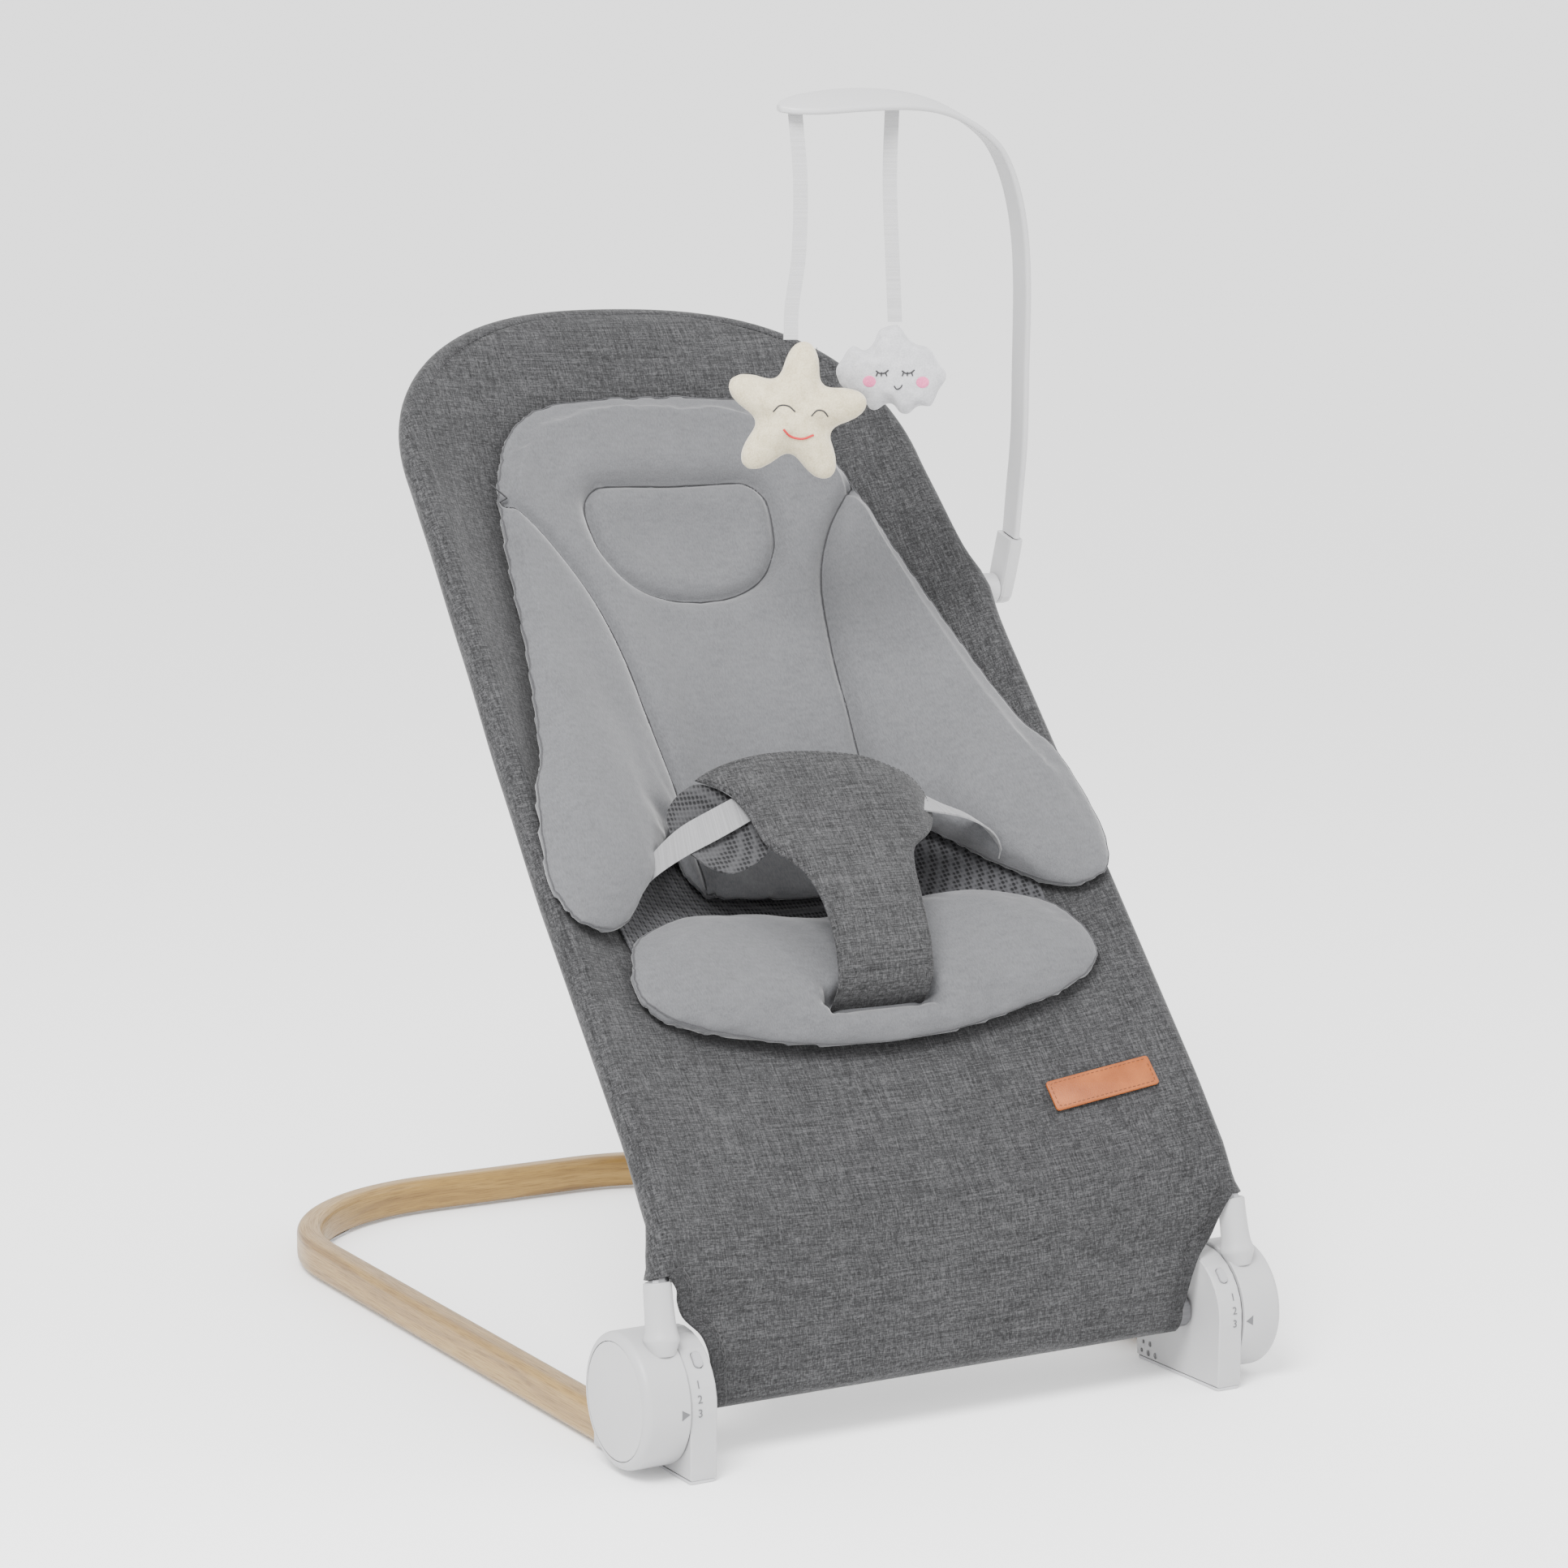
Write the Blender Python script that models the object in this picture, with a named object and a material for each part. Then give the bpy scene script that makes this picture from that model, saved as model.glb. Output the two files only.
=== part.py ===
"""Bouncer seat: rocking sling seat for a baby, on a bent wood floor rail, with a toy arch.

Metres, +Z up, front of the seat toward -Y.  The floor is z = 0 and the middle of the footprint is x = y = 0.
"""
import math

import bmesh
import bpy
from mathutils import Vector

for old in list(bpy.data.objects):
    bpy.data.objects.remove(old, do_unlink=True)

# ---------------------------------------------------------------- driving dimensions
FRONT_Y = -0.36375          # front face of the hub housings
BACK_Y = FRONT_Y + 0.731    # rear outer face of the floor rail
GAP = 0.0003                # running gap between pieces that touch

HUB_Y = FRONT_Y + 0.0415    # recline axis
HUB_Z = 0.0485
AXLE_R = 0.006
HOUSING_IN = 0.1945         # inner and outer faces of the fixed housings
HOUSING_OUT = 0.2135
HOUSING_R = 0.0428
DRUM_IN = 0.2142
DRUM_OUT = 0.2458
DRUM_R = 0.0445
CAP_R = 0.0384
FOOT_T = 0.0018             # rubber foot thickness

RAIL_OUT = 0.231            # floor rail
RAIL_W = 0.0195
RAIL_TOP = 0.028
RAIL_CORNER = 0.165
RAIL_START = FRONT_Y + 0.1000

SEAT_Y = FRONT_Y + 0.093    # origin of the sling plane
SEAT_Z = 0.228
SLOPE = math.radians(48.61)
TUBE_R = 0.0075
CLOTH = 0.002               # cover thickness
SLEEVE_R = TUBE_R + 0.0010 + CLOTH / 2
BAR_R = 0.012               # lower cross bar, on the recline axis
# depth of the sling below its rim: (station, depth)
SAG_KEYS = ((-0.110, 0.0252), (-0.050, 0.0255), (0.010, 0.0258), (0.050, 0.0290), (0.085, 0.0375), (0.120, 0.0490),
            (0.160, 0.0620), (0.200, 0.0700), (0.240, 0.0715), (0.280, 0.0690), (0.330, 0.0645), (0.380, 0.0610),
            (0.420, 0.0600))

BOW_S = 0.50                # the head bow is a superellipse above this station
BOW_A = 0.1995
BOW_B = 0.1495
BOW_N = 2.25
# side tube centreline: (x, station up the sling, height off the sling plane)
TUBE_KEYS = ((0.2228, -0.1361, -0.0277), (0.2216, -0.1215, -0.0190), (0.2165, -0.1090, -0.0150),
             (0.2125, -0.0850, -0.0045), (0.2115, -0.0300, 0.0000), (0.2115, 0.1500, 0.0020),
             (0.2095, 0.2520, 0.0050), (0.2065, 0.3540, 0.0092), (0.2015, 0.4550, 0.0078),
             (0.1995, 0.5000, 0.0068))

STATIONS = (-0.117, -0.110, -0.103, -0.095, -0.085, -0.065, -0.040, -0.010, 0.020, 0.045, 0.065, 0.085, 0.105,
            0.125, 0.150, 0.175, 0.205, 0.235, 0.270, 0.310, 0.350, 0.380, 0.410, 0.440, 0.470, 0.500)

# apron rows: (x, y behind the front face, z) of the free edge, then how far its middle lies back and down
APRON = ((0.2113, 0.0215, 0.1215, 0.0155, 0.0150), (0.2088, 0.0252, 0.1120, 0.0098, 0.0120),
         (0.2040, 0.0265, 0.1010, 0.0070, 0.0095), (0.1935, 0.0238, 0.0900, 0.0079, 0.0060),
         (0.1885, 0.0232, 0.0800, 0.0071, 0.0035), (0.1855, 0.0243, 0.0690, 0.0050, 0.0015))

ARCH_TILT = math.radians(18.0)
PIVOT = Vector((0.0, FRONT_Y + 0.352, 0.520))    # toy arch pivot axis, along X
TOY_TURN = math.radians(-29.6)                   # the soft toys hang turned toward the front corner
STAR_TOP = Vector((0.000, FRONT_Y + 0.2412, 0.8600))
CLOUD_TOP = Vector((0.077, FRONT_Y + 0.2412, 0.8680))

UP = Vector((0.0, 0.0, 1.0))
ALONG = Vector((0.0, math.cos(SLOPE), math.sin(SLOPE)))
OFF = Vector((0.0, -math.sin(SLOPE), math.cos(SLOPE)))
SEAT_ORIGIN = Vector((0.0, HUB_Y, HUB_Z))
PLANE = Vector((0.0, SEAT_Y, SEAT_Z))

# ---------------------------------------------------------------- materials
PALETTE = {
    "hub_plastic": ((0.60, 0.61, 0.62), 0.45, 0.0),
    "button_plastic": ((0.42, 0.43, 0.45), 0.40, 0.0),
    "oak": ((0.50, 0.30, 0.13), 0.45, 0.0),
    "foot_rubber": ((0.30, 0.30, 0.31), 0.80, 0.0),
    "steel_dark": ((0.30, 0.30, 0.32), 0.35, 1.0),
    "cover_weave": ((0.13, 0.13, 0.14), 0.95, 0.0),
    "mesh_knit": ((0.045, 0.045, 0.050), 0.90, 0.0),
    "jersey_grey": ((0.37, 0.38, 0.39), 0.95, 0.0),
    "harness_weave": ((0.10, 0.10, 0.11), 0.95, 0.0),
    "webbing": ((0.48, 0.48, 0.49), 0.85, 0.0),
    "tan_leather": ((0.45, 0.16, 0.05), 0.60, 0.0),
    "arch_white": ((0.82, 0.82, 0.82), 0.35, 0.0),
    "ribbon_grey": ((0.60, 0.60, 0.60), 0.85, 0.0),
    "star_plush": ((0.80, 0.76, 0.62), 0.95, 0.0),
    "cloud_plush": ((0.85, 0.85, 0.84), 0.95, 0.0),
}
MATERIALS = {}
for key, (colour, rough, metal) in PALETTE.items():
    mat = bpy.data.materials.new(key)
    mat.use_nodes = True
    shader = mat.node_tree.nodes["Principled BSDF"]
    shader.inputs["Base Color"].default_value = (*colour, 1.0)
    shader.inputs["Roughness"].default_value = rough
    shader.inputs["Metallic"].default_value = metal
    mat.diffuse_color = (*colour, 1.0)
    MATERIALS[key] = mat


# ---------------------------------------------------------------- mesh helpers
def solid(name, verts, faces, material, origin=(0.0, 0.0, 0.0), smooth=38.0):
    """Closed mesh object from world-space vertices, with its origin at the given point."""
    base = Vector(origin)
    mesh = bpy.data.meshes.new(name)
    mesh.from_pydata([tuple(Vector(v) - base) for v in verts], [], faces)
    bm = bmesh.new()
    bm.from_mesh(mesh)
    bmesh.ops.remove_doubles(bm, verts=bm.verts, dist=1e-6)
    bmesh.ops.recalc_face_normals(bm, faces=bm.faces)
    if bm.calc_volume(signed=True) < 0.0:
        bmesh.ops.reverse_faces(bm, faces=bm.faces)
    limit = math.radians(smooth)
    for edge in bm.edges:
        edge.smooth = len(edge.link_faces) == 2 and edge.calc_face_angle(0.0) < limit
    for face in bm.faces:
        face.smooth = smooth > 0.0
    bm.to_mesh(mesh)
    bm.free()
    ob = bpy.data.objects.new(name, mesh)
    ob.location = base
    bpy.context.scene.collection.objects.link(ob)
    mesh.materials.append(MATERIALS[material])
    return ob


def loft(rings, closed=False):
    """Vertices and faces joining equal rings of points; ends are capped unless the loft is closed."""
    count = len(rings[0])
    verts = [p for ring in rings for p in ring]
    faces = []
    steps = len(rings) if closed else len(rings) - 1
    for i in range(steps):
        a = i * count
        b = ((i + 1) % len(rings)) * count
        for j in range(count):
            k = (j + 1) % count
            faces.append((a + j, a + k, b + k, b + j))
    if not closed:
        faces.append(tuple(range(count)))
        faces.append(tuple(range((len(rings) - 1) * count, len(rings) * count)))
    return verts, faces


def lathe(profile, centre, segments, side=1, closed=True):
    """Profile of (x, radius) points turned about an axis along X."""
    rings = []
    for x, radius in profile:
        ring = []
        for j in range(segments):
            a = math.tau * j / segments
            ring.append(Vector((side * x, centre[1] + radius * math.cos(a), centre[2] + radius * math.sin(a))))
        rings.append(ring)
    return loft(rings, closed)


def tube(path, radii, segments=12):
    """Round bar along a path of points."""
    rings = []
    previous = None
    for i, p in enumerate(path):
        ahead = path[min(i + 1, len(path) - 1)] - path[max(i - 1, 0)]
        t = ahead.normalized()
        if previous is None:
            seed = Vector((1.0, 0.0, 0.0)) if abs(t.x) < 0.8 else UP
            u = (seed - t * seed.dot(t)).normalized()
        else:
            u = (previous - t * previous.dot(t)).normalized()
        v = t.cross(u)
        r = radii[i] if isinstance(radii, (list, tuple)) else radii
        rings.append([p + (u * math.cos(a) + v * math.sin(a)) * r
                      for a in (math.tau * j / segments for j in range(segments))])
        previous = u
    return loft(rings)


def rounded(width, height, radius, steps=2):
    """Rounded rectangle section as (a, b) pairs about its centre."""
    pts = []
    corners = ((1, 1, 0.0), (-1, 1, 90.0), (-1, -1, 180.0), (1, -1, 270.0))
    for cx, cy, start in corners:
        for k in range(steps + 1):
            a = math.radians(start + 90.0 * k / steps)
            pts.append((cx * (width / 2 - radius) + radius * math.cos(a),
                        cy * (height / 2 - radius) + radius * math.sin(a)))
    return pts


def thicken(verts, faces, half):
    """Closed sheet solid from an open surface."""
    normals = [Vector((0.0, 0.0, 0.0)) for _ in verts]
    edges = {}
    for face in faces:
        n = (verts[face[1]] - verts[face[0]]).cross(verts[face[2]] - verts[face[0]])
        if len(face) == 4:
            n = (verts[face[2]] - verts[face[0]]).cross(verts[face[3]] - verts[face[1]])
        for i, a in enumerate(face):
            normals[a] += n
            b = face[(i + 1) % len(face)]
            edges.setdefault((min(a, b), max(a, b)), []).append((a, b))
    normals = [n.normalized() for n in normals]
    count = len(verts)
    out = [v + n * half for v, n in zip(verts, normals)] + [v - n * half for v, n in zip(verts, normals)]
    made = list(faces) + [tuple(i + count for i in reversed(face)) for face in faces]
    for used in edges.values():
        if len(used) == 1:
            a, b = used[0]
            made.append((b, a, a + count, b + count))
    return out, made


def puff(outline, centre, place, lower, upper, rings=(0.2, 0.4, 0.6, 0.77, 0.9, 0.97, 1.0)):
    """Closed pad: outline points (a, b) round a centre, heights from functions of (ratio, a, b)."""
    verts = [place(*centre, lower(0.0, *centre)), place(*centre, upper(0.0, *centre))]
    count = len(outline)
    for height in (lower, upper):
        for q in rings:
            for a, b in outline:
                u = centre[0] + (a - centre[0]) * q
                v = centre[1] + (b - centre[1]) * q
                verts.append(place(u, v, height(q, u, v)))
    faces = []
    for layer in range(2):
        start = 2 + layer * len(rings) * count
        for j in range(count):
            k = (j + 1) % count
            faces.append((layer, start + j, start + k))
            for r in range(len(rings) - 1):
                a = start + r * count
                faces.append((a + j, a + count + j, a + count + k, a + k))
    low = 2 + (len(rings) - 1) * count
    high = low + len(rings) * count
    for j in range(count):
        k = (j + 1) % count
        faces.append((low + j, low + k, high + k, high + j))
    return verts, faces


def smooth_line(keys, steps):
    """Catmull-Rom line through key points."""
    keys = [Vector(k) for k in keys]
    ends = [keys[0] * 2 - keys[1]] + keys + [keys[-1] * 2 - keys[-2]]
    line = []
    for i in range(1, len(ends) - 2):
        a, b, c, d = ends[i - 1:i + 3]
        for k in range(steps):
            t = k / steps
            line.append(0.5 * ((2 * b) + (c - a) * t + (2 * a - 5 * b + 4 * c - d) * t * t
                               + (3 * b - a - 3 * c + d) * t ** 3))
    line.append(keys[-1])
    return line


def boolean(ob, cutter, operation):
    """Exact boolean with a hidden helper object."""
    mod = ob.modifiers.new(operation.lower(), "BOOLEAN")
    mod.operation = operation
    mod.solver = "EXACT"
    mod.object = cutter
    cutter.hide_render = True
    cutter.display_type = "WIRE"


def box_points(low, high):
    """Eight corners and six faces of an axis-aligned box."""
    pts = [Vector((x, y, z)) for z in (low[2], high[2]) for y in (low[1], high[1]) for x in (low[0], high[0])]
    return pts, [(0, 1, 3, 2), (4, 5, 7, 6), (0, 1, 5, 4), (2, 3, 7, 6), (0, 2, 6, 4), (1, 3, 7, 5)]


def prism(outline, x_low, x_high, side=1, inset=0.0):
    """Outline of (y, z) points extruded along X, with its rims drawn in by an inset."""
    cy = sum(p[0] for p in outline) / len(outline)
    cz = sum(p[1] for p in outline) / len(outline)

    def ring(x, k):
        pts = []
        for y, z in outline:
            d = math.hypot(y - cy, z - cz)
            pts.append(Vector((side * x, y - (y - cy) / d * k, z - (z - cz) / d * k)))
        return pts
    if inset == 0.0:
        return loft([ring(x_low, 0.0), ring(x_high, 0.0)])
    return loft([ring(x_low, inset), ring(x_low + inset, 0.0), ring(x_high - inset, 0.0), ring(x_high, inset)])


# ---------------------------------------------------------------- sling surface
def ease(t):
    t = min(1.0, max(0.0, t))
    return t * t * (3.0 - 2.0 * t)


def rim(s):
    """Tube centreline at a station: half width and height off the plane."""
    if s > BOW_S:
        t = min(1.0, (s - BOW_S) / BOW_B)
        return BOW_A * (1.0 - t ** BOW_N) ** (1.0 / BOW_N), 0.0068 * (1.0 - t ** 4)
    keys = TUBE_KEYS
    if s <= keys[0][1]:
        return keys[0][0], keys[0][2]
    for i in range(len(keys) - 1):
        a, b = keys[i], keys[i + 1]
        if s <= b[1]:
            t = ease((s - a[1]) / (b[1] - a[1])) * 0.35 + (s - a[1]) / (b[1] - a[1]) * 0.65
            return a[0] + (b[0] - a[0]) * t, a[2] + (b[2] - a[2]) * t
    return keys[-1][0], keys[-1][2]


def sag(s):
    """Depth of the sling below its rim at a station: smooth through the keys, closing toward the head."""
    keys = SAG_KEYS
    top = 1.0 - ease((s - 0.42) / 0.235)
    if s <= keys[0][0]:
        return keys[0][1]
    for i in range(len(keys) - 1):
        if s <= keys[i + 1][0]:
            before, after = keys[max(i - 1, 0)], keys[min(i + 2, len(keys) - 1)]
            (s0, d0), (s1, d1) = keys[i], keys[i + 1]
            span = s1 - s0
            t = (s - s0) / span
            m0 = (d1 - before[1]) / (s1 - before[0]) * span
            m1 = (after[1] - d0) / (after[0] - s0) * span
            return top * (d0 * (2 * t ** 3 - 3 * t ** 2 + 1) + m0 * (t ** 3 - 2 * t ** 2 + t)
                          + d1 * (3 * t ** 2 - 2 * t ** 3) + m1 * (t ** 3 - t ** 2))
    return top * keys[-1][1]


def height(x, s):
    """Height of the middle of the cover off the sling plane."""
    half, off = rim(s)
    depth = sag(s)
    lean = math.atan2(2.0 * depth, half)
    leave = half - SLEEVE_R * math.sin(lean)
    x = abs(x)
    if x < leave:
        return off + SLEEVE_R * math.cos(lean) - depth * (1.0 - (x / leave) ** 2)
    if x < half:
        return off + math.sqrt(max(0.0, SLEEVE_R ** 2 - (half - x) ** 2))
    return off + SLEEVE_R


def sling(x, s, h=0.0):
    """World point at a height above the middle of the cover."""
    e = 0.0006
    dx = (height(x + e, s) - height(x - e, s)) / (2 * e)
    ds = (height(x, s + e) - height(x, s - e)) / (2 * e)
    n = (OFF - Vector((dx, 0.0, 0.0)) - ALONG * ds).normalized()
    return PLANE + Vector((x, 0.0, 0.0)) + ALONG * s + OFF * height(x, s) + n * h


def plane_point(x, s, off):
    return PLANE + Vector((x, 0.0, 0.0)) + ALONG * s + OFF * off


# ---------------------------------------------------------------- floor base
def rail_path():
    """Centreline of the U-shaped floor rail, left end to right end."""
    half = RAIL_OUT - RAIL_W / 2
    back = BACK_Y - RAIL_W / 2
    radius = RAIL_CORNER - RAIL_W / 2
    left = [Vector((-half, RAIL_START, 0.0)), Vector((-half, RAIL_START + 0.045, 0.0)),
            Vector((-half, RAIL_START + 0.22, 0.0))]
    for k in range(9):
        a = math.radians(180.0 - 90.0 * k / 8)
        left.append(Vector((-half + radius + radius * math.cos(a), back - radius + radius * math.sin(a), 0.0)))
    right = [Vector((-p.x, p.y, 0.0)) for p in reversed(left)]
    return left + right


def make_rail():
    section = rounded(RAIL_W, RAIL_TOP - FOOT_T - GAP, 0.005)
    mid_z = (RAIL_TOP + FOOT_T + GAP) / 2
    path = rail_path()
    rings = []
    for i, p in enumerate(path):
        t = (path[min(i + 1, len(path) - 1)] - path[max(i - 1, 0)]).normalized()
        out = Vector((-t.y, t.x, 0.0))
        rings.append([p + out * a + UP * (mid_z + b) for a, b in section])
    verts, faces = loft(rings)
    rail = solid("base_rail", verts, faces, "oak")
    for side, word in ((-1, "left"), (1, "right")):
        x = side * (RAIL_OUT - RAIL_W / 2)
        path = [Vector((x, RAIL_START - 0.012, 0.0155)), Vector((x, RAIL_START + 0.022, 0.0155))]
        bore = solid("bore_rail_" + word, *tube(path, 0.0043, 16), "oak")
        boolean(rail, bore, "DIFFERENCE")


def make_base_side(side, word):
    origin = (side * 0.204, HUB_Y, HUB_Z)
    # housing profile: flat front, round crown on the recline axis, tail sweeping back to the rail
    outline = [(FRONT_Y + 0.0005, FOOT_T + GAP), (FRONT_Y, 0.006), (FRONT_Y - 0.0008, 0.040)]
    for k in range(15):
        a = math.radians(184.0 - 164.0 * k / 14)
        outline.append((HUB_Y + HOUSING_R * math.cos(a), HUB_Z + HOUSING_R * math.sin(a)))
    for k in range(1, 6):
        t = k / 5
        outline.append((HUB_Y + 0.0405 + 0.0135 * t + 0.003 * t * t, 0.0610 - 0.052 * t + 0.012 * t * t))
    outline.append((FRONT_Y + 0.0970, FOOT_T + GAP))
    housing = solid("housing_" + word, *prism(outline, HOUSING_IN, HOUSING_OUT, side, 0.0010),
                    "hub_plastic", origin)
    bore = solid("bore_housing_" + word,
                 *tube([Vector((side * 0.19, HUB_Y, HUB_Z)), Vector((side * 0.22, HUB_Y, HUB_Z))], 0.0064, 24),
                 "hub_plastic")
    boolean(housing, bore, "DIFFERENCE")
    # pocket of the release button, on a radius through the crown
    a = math.radians(136.8)
    radial = Vector((0.0, math.cos(a), math.sin(a)))
    around = Vector((0.0, -math.sin(a), math.cos(a)))
    across = Vector((1.0, 0.0, 0.0))
    middle = Vector((side * 0.2035, HUB_Y, HUB_Z))

    def pill(clear, low, high, name, material, start):
        rings = []
        for r, k in ((low, 1.0), (high - 0.0008, 1.0), (high, 0.82)) if clear == 0.0 else ((low, 1.0), (high, 1.0)):
            ring = []
            for j in range(20):
                t = math.tau * j / 20
                shift = 0.0026 * (1 if math.sin(t) >= 0 else -1)
                ring.append(middle + radial * r + across * (0.0031 + clear) * k * math.cos(t)
                            + around * ((0.0031 + clear) * k * math.sin(t) + shift * k))
            rings.append(ring)
        return solid(name, *loft(rings), material, start)
    pocket = pill(0.0004, 0.0280, 0.0500, "pocket_button_" + word, "button_plastic", (0.0, 0.0, 0.0))
    boolean(housing, pocket, "DIFFERENCE")
    pill(0.0, 0.0340, 0.0446, "button_" + word, "button_plastic", middle + radial * 0.0440)
    spring = []
    for k in range(40):
        t = k / 39
        turn = math.tau * 4.0 * t
        spring.append(middle + radial * (0.0286 + 0.0048 * t) + across * 0.0019 * math.cos(turn)
                      + around * 0.0019 * math.sin(turn))
    solid("button_spring_" + word, *tube(spring, 0.00035, 5), "steel_dark", middle + radial * 0.0286)
    # moulding recesses on the inner face
    for k, (y, z, r) in enumerate(((0.0810, 0.0130, 0.0021), (0.0745, 0.0060, 0.0023), (0.0830, 0.0060, 0.0023),
                                   (0.0910, 0.0065, 0.0016), (0.0890, 0.0130, 0.0016))):
        y = y + FRONT_Y
        pit = solid("pit_%s_%d" % (word, k),
                    *tube([Vector((side * (HOUSING_IN - 0.004), y, z)),
                           Vector((side * (HOUSING_IN + 0.002), y, z))], r, 12), "hub_plastic")
        boolean(housing, pit, "DIFFERENCE")
    # socket that carries the rail end, behind the drum
    low = (min(side * (HOUSING_OUT + GAP), side * 0.2318), FRONT_Y + 0.0885, FOOT_T + GAP)
    high = (max(side * (HOUSING_OUT + GAP), side * 0.2318), RAIL_START - GAP, 0.0290)
    socket = solid("rail_socket_" + word, *box_points(low, high), "hub_plastic",
                   (side * 0.2226, FRONT_Y + 0.094, 0.0155), 0.0)
    bevel = socket.modifiers.new("edge", "BEVEL")
    bevel.width = 0.0012
    bevel.segments = 2
    x = side * (RAIL_OUT - RAIL_W / 2)
    path = [Vector((x, FRONT_Y + 0.0905, 0.0155)), Vector((x, RAIL_START + 0.01, 0.0155))]
    bore = solid("bore_socket_" + word, *tube(path, 0.0043, 16), "hub_plastic")
    boolean(socket, bore, "DIFFERENCE")
    path = [Vector((x, FRONT_Y + 0.0910, 0.0155)), Vector((x, RAIL_START + 0.0215, 0.0155))]
    solid("rail_dowel_" + word, *tube(path, 0.0040, 16), "steel_dark", path[0])
    # rubber foot strip under the housing, and a pad under the rear corner of the rail
    strip = [Vector((side * 0.204 + a, FRONT_Y + 0.0485 + b, z)) for z in (0.0, FOOT_T)
             for a, b in rounded(0.0185, 0.0955, 0.002)]
    half = len(strip) // 2
    solid("front_foot_" + word, *loft([strip[:half], strip[half:]]), "foot_rubber",
          (side * 0.204, FRONT_Y + 0.0485, 0.0))
    mid = sorted((p for p in rail_path() if p.x * side > 0.0), key=lambda p: p.y)[-7:-3]
    rings = []
    for i, p in enumerate(mid):
        t = (mid[min(i + 1, len(mid) - 1)] - mid[max(i - 1, 0)]).normalized()
        out = Vector((-t.y, t.x, 0.0))
        rings.append([p + out * a + UP * (FOOT_T / 2 + b) for a, b in rounded(0.013, FOOT_T, 0.0004, 1)])
    solid("rear_foot_" + word, *loft(rings), "foot_rubber", mid[1])


# ---------------------------------------------------------------- seat frame
def make_drum(side, word):
    centre = (0.0, HUB_Y, HUB_Z)
    origin = (side * 0.23, HUB_Y, HUB_Z)
    profile = [(DRUM_IN, AXLE_R + GAP), (DRUM_IN, 0.0110), (0.2370, 0.0110), (0.2370, 0.0412), (DRUM_IN, 0.0412),
               (DRUM_IN, DRUM_R - 0.0006), (DRUM_IN + 0.0006, DRUM_R), (0.2405, DRUM_R)]
    for k in range(1, 5):
        a = math.radians(90.0 - 90.0 * k / 4)
        profile.append((0.2405 + 0.0053 * math.cos(a), DRUM_R - 0.0053 + 0.0053 * math.sin(a)))
    profile += [(DRUM_OUT, CAP_R + 0.0004), (0.2440, CAP_R + 0.0004), (0.2440, AXLE_R + GAP)]
    drum = solid("drum_" + word, *lathe(profile, centre, 32, side), "hub_plastic", origin)
    keys = [(0.2232, HUB_Y - 0.0225, HUB_Z + 0.0330), (0.2232, HUB_Y - 0.0210, HUB_Z + 0.0420),
            (0.2230, HUB_Y - 0.0182, HUB_Z + 0.0560), (0.2226, HUB_Y - 0.0150, HUB_Z + 0.0760)]
    path = [Vector((side * k[0], k[1], k[2])) for k in keys]
    neck = solid("neck_" + word, *tube(path, [0.0088, 0.0092, 0.0096, 0.0096], 20), "hub_plastic")
    boolean(drum, neck, "UNION")
    seat_path = [plane_point(side * k[0], k[1], k[2]) for k in TUBE_KEYS[:3]]
    bore_path = [seat_path[0] * 1.1 - seat_path[1] * 0.1] + seat_path
    bore = solid("bore_neck_" + word, *tube(bore_path, TUBE_R + 0.0004, 20), "hub_plastic")
    boolean(drum, bore, "DIFFERENCE")
    cap = [(0.2443, 0.0), (0.2443, CAP_R), (0.2455, CAP_R), (0.2460, CAP_R - 0.0006), (0.2460, 0.0)]
    rings = [(x, max(r, 0.0005)) for x, r in cap]
    solid("hub_cap_" + word, *lathe(rings, centre, 32, side, False), "hub_plastic", origin)
    axle = [(0.1500, AXLE_R - 0.0006), (0.1506, AXLE_R), (0.2430, AXLE_R), (0.2436, AXLE_R - 0.0006)]
    solid("axle_" + word, *lathe(axle, centre, 20, side, False), "steel_dark", origin)
    # toothed lock ring pressed inside the drum
    rings = []
    for x in (0.2270, 0.2366):
        outer = []
        for j in range(48):
            a = math.tau * j / 48
            tooth = 0.0 if (j % 3) else 0.0016
            outer.append(Vector((side * x, HUB_Y + (0.0290 - tooth) * math.cos(a), HUB_Z + (0.0290 - tooth) * math.sin(a))))
        inner = [Vector((side * x, HUB_Y + 0.0114 * math.cos(math.tau * j / 48), HUB_Z + 0.0114 * math.sin(math.tau * j / 48)))
                 for j in range(48)]
        rings.append((outer, inner))
    (o1, i1), (o2, i2) = rings
    solid("lock_ring_" + word, *loft([o1, o2, i2, i1], True), "steel_dark", origin)


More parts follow.
